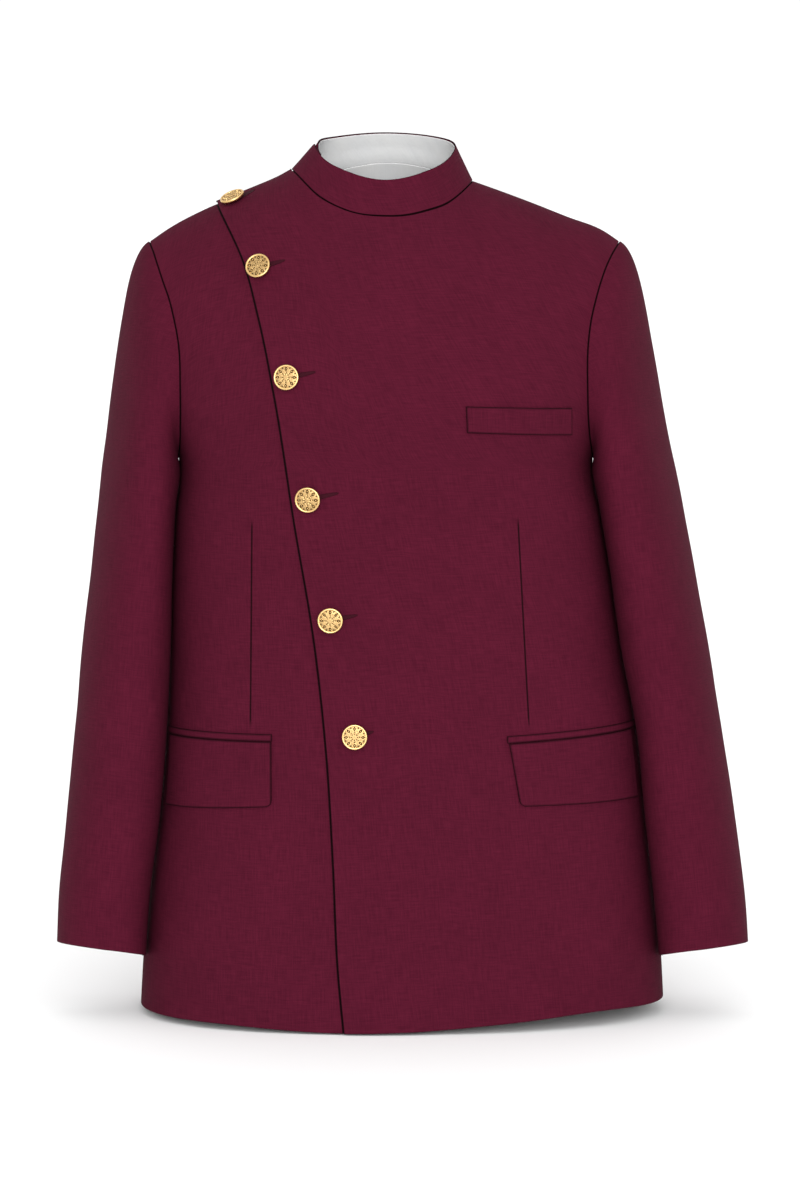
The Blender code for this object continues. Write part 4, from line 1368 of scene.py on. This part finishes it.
def mark_dart(piece, dart):
    """Values that paint shade along a dart's fold in the cloth: how far from its line each point is, and
    whether beside it.
    """
    start, end = np.array([dart.x, dart.z]), np.array([dart.end_x, dart.end_z])
    length = np.hypot(*(end - start))
    run = (end - start) / length
    off = points_of(piece.data)[:, [0, 2]] - start
    down = off @ run
    add_values(piece, "dart_across", off[:, 0] * run[1] - off[:, 1] * run[0])
    add_values(piece, "dart_on", ease(down / DART_FADE) * ease((length - down) / DART_FADE))


def mark_overlap(piece, side, reach):
    """A painted shadow that makes a front dark along the overlap's edge, on one side of it: the overlap's
    rim, or its shadow on the front beneath.
    """
    place = points_of(piece.data)
    add_values(piece, "overlap_near", (reach - side * (place[:, 0] - over_edge(place[:, 2]))) / PAINTED_EDGE_WIDTH)


def folded_sides(near, far, column, sign):
    """The folded cloth inside a seam between a panel's side column and the far panel's opposite one."""
    step = 1 if column == 0 else -1
    other = -1 if column == 0 else 0
    return allowance(near[:, column], near[:, column + step], far[:, other], far[:, other - step], sign)


def folded_shoulder(front, back, side):
    """The folded cloth inside a shoulder seam, from the neck's edge outward."""
    neck_end = side * neck_x(90 + 90 * side) + FORM_PROBE
    front_columns = side * front[-1, :, 0] > neck_end
    back_columns = side * back[-1, :, 0] > neck_end
    near, near_in = front[-1, front_columns], front[-2, front_columns]
    far, far_in = back[-1, back_columns][::-1], back[-2, back_columns][::-1]
    return allowance(near, near_in, far, far_in, 1)


def body_allowances(front_left, front_right, back_left, back_right):
    """The folded cloth inside the centre back, side and shoulder seams, by the panel that it joins."""
    right_side = folded_sides(front_right[:SKIRT_ROWS], back_right[:SKIRT_ROWS], 0, 1)
    left_side = folded_sides(front_left[:SKIRT_ROWS], back_left[:SKIRT_ROWS], -1, -1)
    return {
        "back_left": [folded_sides(back_left, back_right, -1, -1)],
        "back_right": [],
        "front_right": [right_side, folded_shoulder(front_right, back_right, -1)],
        "front_left": [left_side, folded_shoulder(front_left, back_left, 1)],
    }


def sleeve_allowances(sign, loop, inner_loop, grids, turns):
    """The folded cloth inside the armhole and the sleeve's own seams, by the piece that it joins."""
    found = {}
    for part, grid in grids.items():
        body, body_in = (round_armhole(loop, turns[part], values) for values in (loop, inner_loop))
        found[part] = [allowance(grid[-1], grid[-2], body, body_in, -sign)]
    top, under = (grids[part][:-ALLOWANCE_SHORT] for part in ("top", "under"))
    found["top"].append(folded_sides(top, under, -1, sign))
    found["top"].append(folded_sides(top, under, 0, -sign))
    return found


def body_pieces(cloth):
    """The fronts and backs, by name, and the grids of their form."""
    grids = {
        "front_left": front_left_grid(),
        "front_right": front_right_grid(),
        "back_left": back_grid(centre_edge(1), armhole("left_back", 1)),
        "back_right": back_grid(armhole("right_back", -1), centre_edge(-1)),
    }
    folded = body_allowances(*grids.values())
    pieces = {}
    for name, grid in grids.items():
        face = -1 if "front" in name else 1
        creased = moved_out(below_ridge(grid, SHOULDER_GAP), body_creases(grid, face))
        origin = (SKIRT_ROWS, int(np.argmin(np.abs(grid[SKIRT_ROWS, :, 0]))))
        piece = cloth_piece("cloth_" + name, creased, CLOTH, cloth, origin, allowances=folded[name])
        if face < 0:
            mark_dart(piece, DARTS["left" in name])
            mark_overlap(piece, *PAINTED_OVERLAP_SHADOW[name])
        pieces[name] = piece
    return pieces, grids


def sleeve_pieces(cloth, bodies):
    fore_seam, hind_seam = SLEEVE_SEAMS
    half = SLEEVE_SEAM_HALF
    turns = {
        "top": np.radians(np.linspace(hind_seam + half - 360, fore_seam - half, TOP_SLEEVE_COLUMNS + 1)),
        "under": np.radians(np.linspace(fore_seam + half, hind_seam - half, UNDER_SLEEVE_COLUMNS + 1)),
    }
    pieces = {}
    for name, sign, front_column, back_column in (("right", -1, 0, -1), ("left", 1, -1, 0)):
        front, back = bodies["front_" + name], bodies["back_" + name]
        loop = armhole_loop(front[:, front_column], back[:, back_column])
        inner_loop = armhole_loop(front[:, front_column - sign], back[:, back_column + sign])
        grids = {part: sleeve_grid(sign, loop, turn) for part, turn in turns.items()}
        folded = sleeve_allowances(sign, loop, inner_loop, grids, turns)
        for part, grid in grids.items():
            grid = grid[:, ::-1] if sign > 0 else grid
            label = "sleeve_%s_%s" % (name, part)
            pieces[label] = cloth_piece("cloth_" + label, grid, CLOTH, cloth, allowances=folded[part])
    return pieces


def neck_pieces(cloth, lining):
    """The collar, its lining and the lining of the back neck."""
    rises = np.linspace(*COLLAR_RISE, COLLAR_ROWS + 1)
    grid = collar_grid(rises, np.zeros(len(rises)))
    folded = [collar_allowance(grid)]
    grid = rounded_corner(grid, False, True, COLLAR_CORNER)
    collar = cloth_piece("cloth_collar", grid, COLLAR_WALL, cloth, allowances=folded)
    rises = np.linspace(*COLLAR_LINING_RISE, COLLAR_ROWS + 1)
    closed = ease((rises - COLLAR_LINING_CLOSED[0]) / COLLAR_LINING_CLOSED[1])
    depth = COLLAR_LINING_DEPTH - COLLAR_LINING_CLOSING * closed
    grid = collar_grid(rises, depth, COLLAR_LINING_DROP)[:, COLLAR_LINING_START:]
    return {
        "collar": collar,
        "collar_lining": cloth_piece("lining_collar", grid, COLLAR_LINING_WALL, lining),
        "neck_lining": cloth_piece("lining_neck", neck_lining_grid(), LINING, lining),
    }


def pocket_pieces(cloth):
    pieces = {}
    for patch in PATCHES:
        grid = patch_grid(patch)
        if patch.round_start:
            grid = rounded_corner(grid, True, True, FLAP_CORNER)
        if patch.round_end:
            grid = rounded_corner(grid, True, False, FLAP_CORNER)
        made = cloth_piece("cloth_" + patch.name, grid, patch.wall, cloth, line=PAINTED_EDGE_WIDTH)
        pieces[patch.name] = made
    return pieces


def garment(cloth, lining):
    pieces, bodies = body_pieces(cloth)
    pieces.update(sleeve_pieces(cloth, bodies))
    pieces.update(neck_pieces(cloth, lining))
    pieces.update(pocket_pieces(cloth))
    for label, piece in pieces.items():
        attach(piece, "root")
        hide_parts(label)


def stage():
    points = [(FLOOR_HALF * x, FLOOR_HALF * y, FLOOR_Z) for x, y in ((-1, -1), (1, -1), (1, 1), (-1, 1))]
    floor = mesh_piece("floor", points, [[0, 1, 2, 3]], [floor_material()])
    world = bpy.data.worlds.new("studio")
    bpy.context.scene.world = world
    world.use_nodes = True
    background = world.node_tree.nodes["Background"]
    background.inputs["Color"].default_value = (1.0, 1.0, 1.0, 1.0)
    background.inputs["Strength"].default_value = WORLD_LIGHT


def soft_light(lamp):
    """A large soft lamp far off, shining along a direction."""
    data = bpy.data.lights.new(lamp.name, "SUN")
    data.angle = lamp.spread
    data.energy = lamp.strength
    made = bpy.data.objects.new(lamp.name, data)
    bpy.context.scene.collection.objects.link(made)
    made.rotation_euler = Vector(lamp.towards).to_track_quat("-Z", "Y").to_euler()


def lights_and_camera():
    for lamp in LAMPS:
        soft_light(lamp)
    data = bpy.data.cameras.new("camera")
    data.lens = CAMERA_LENS
    data.sensor_width = CAMERA_SENSOR
    camera = bpy.data.objects.new("camera", data)
    bpy.context.scene.collection.objects.link(camera)
    camera.location = CAMERA_AT
    camera.rotation_euler = (Vector(CAMERA_AIM) - Vector(CAMERA_AT)).to_track_quat("-Z", "Y").to_euler()
    bpy.context.scene.camera = camera
    bpy.context.scene.view_settings.view_transform = "Standard"


lights_and_camera()
stage()
garment(cloth_material(), lining_material())
buttons([metal_material(*finish) for finish in FINISHES])
buttonholes(thread_material())
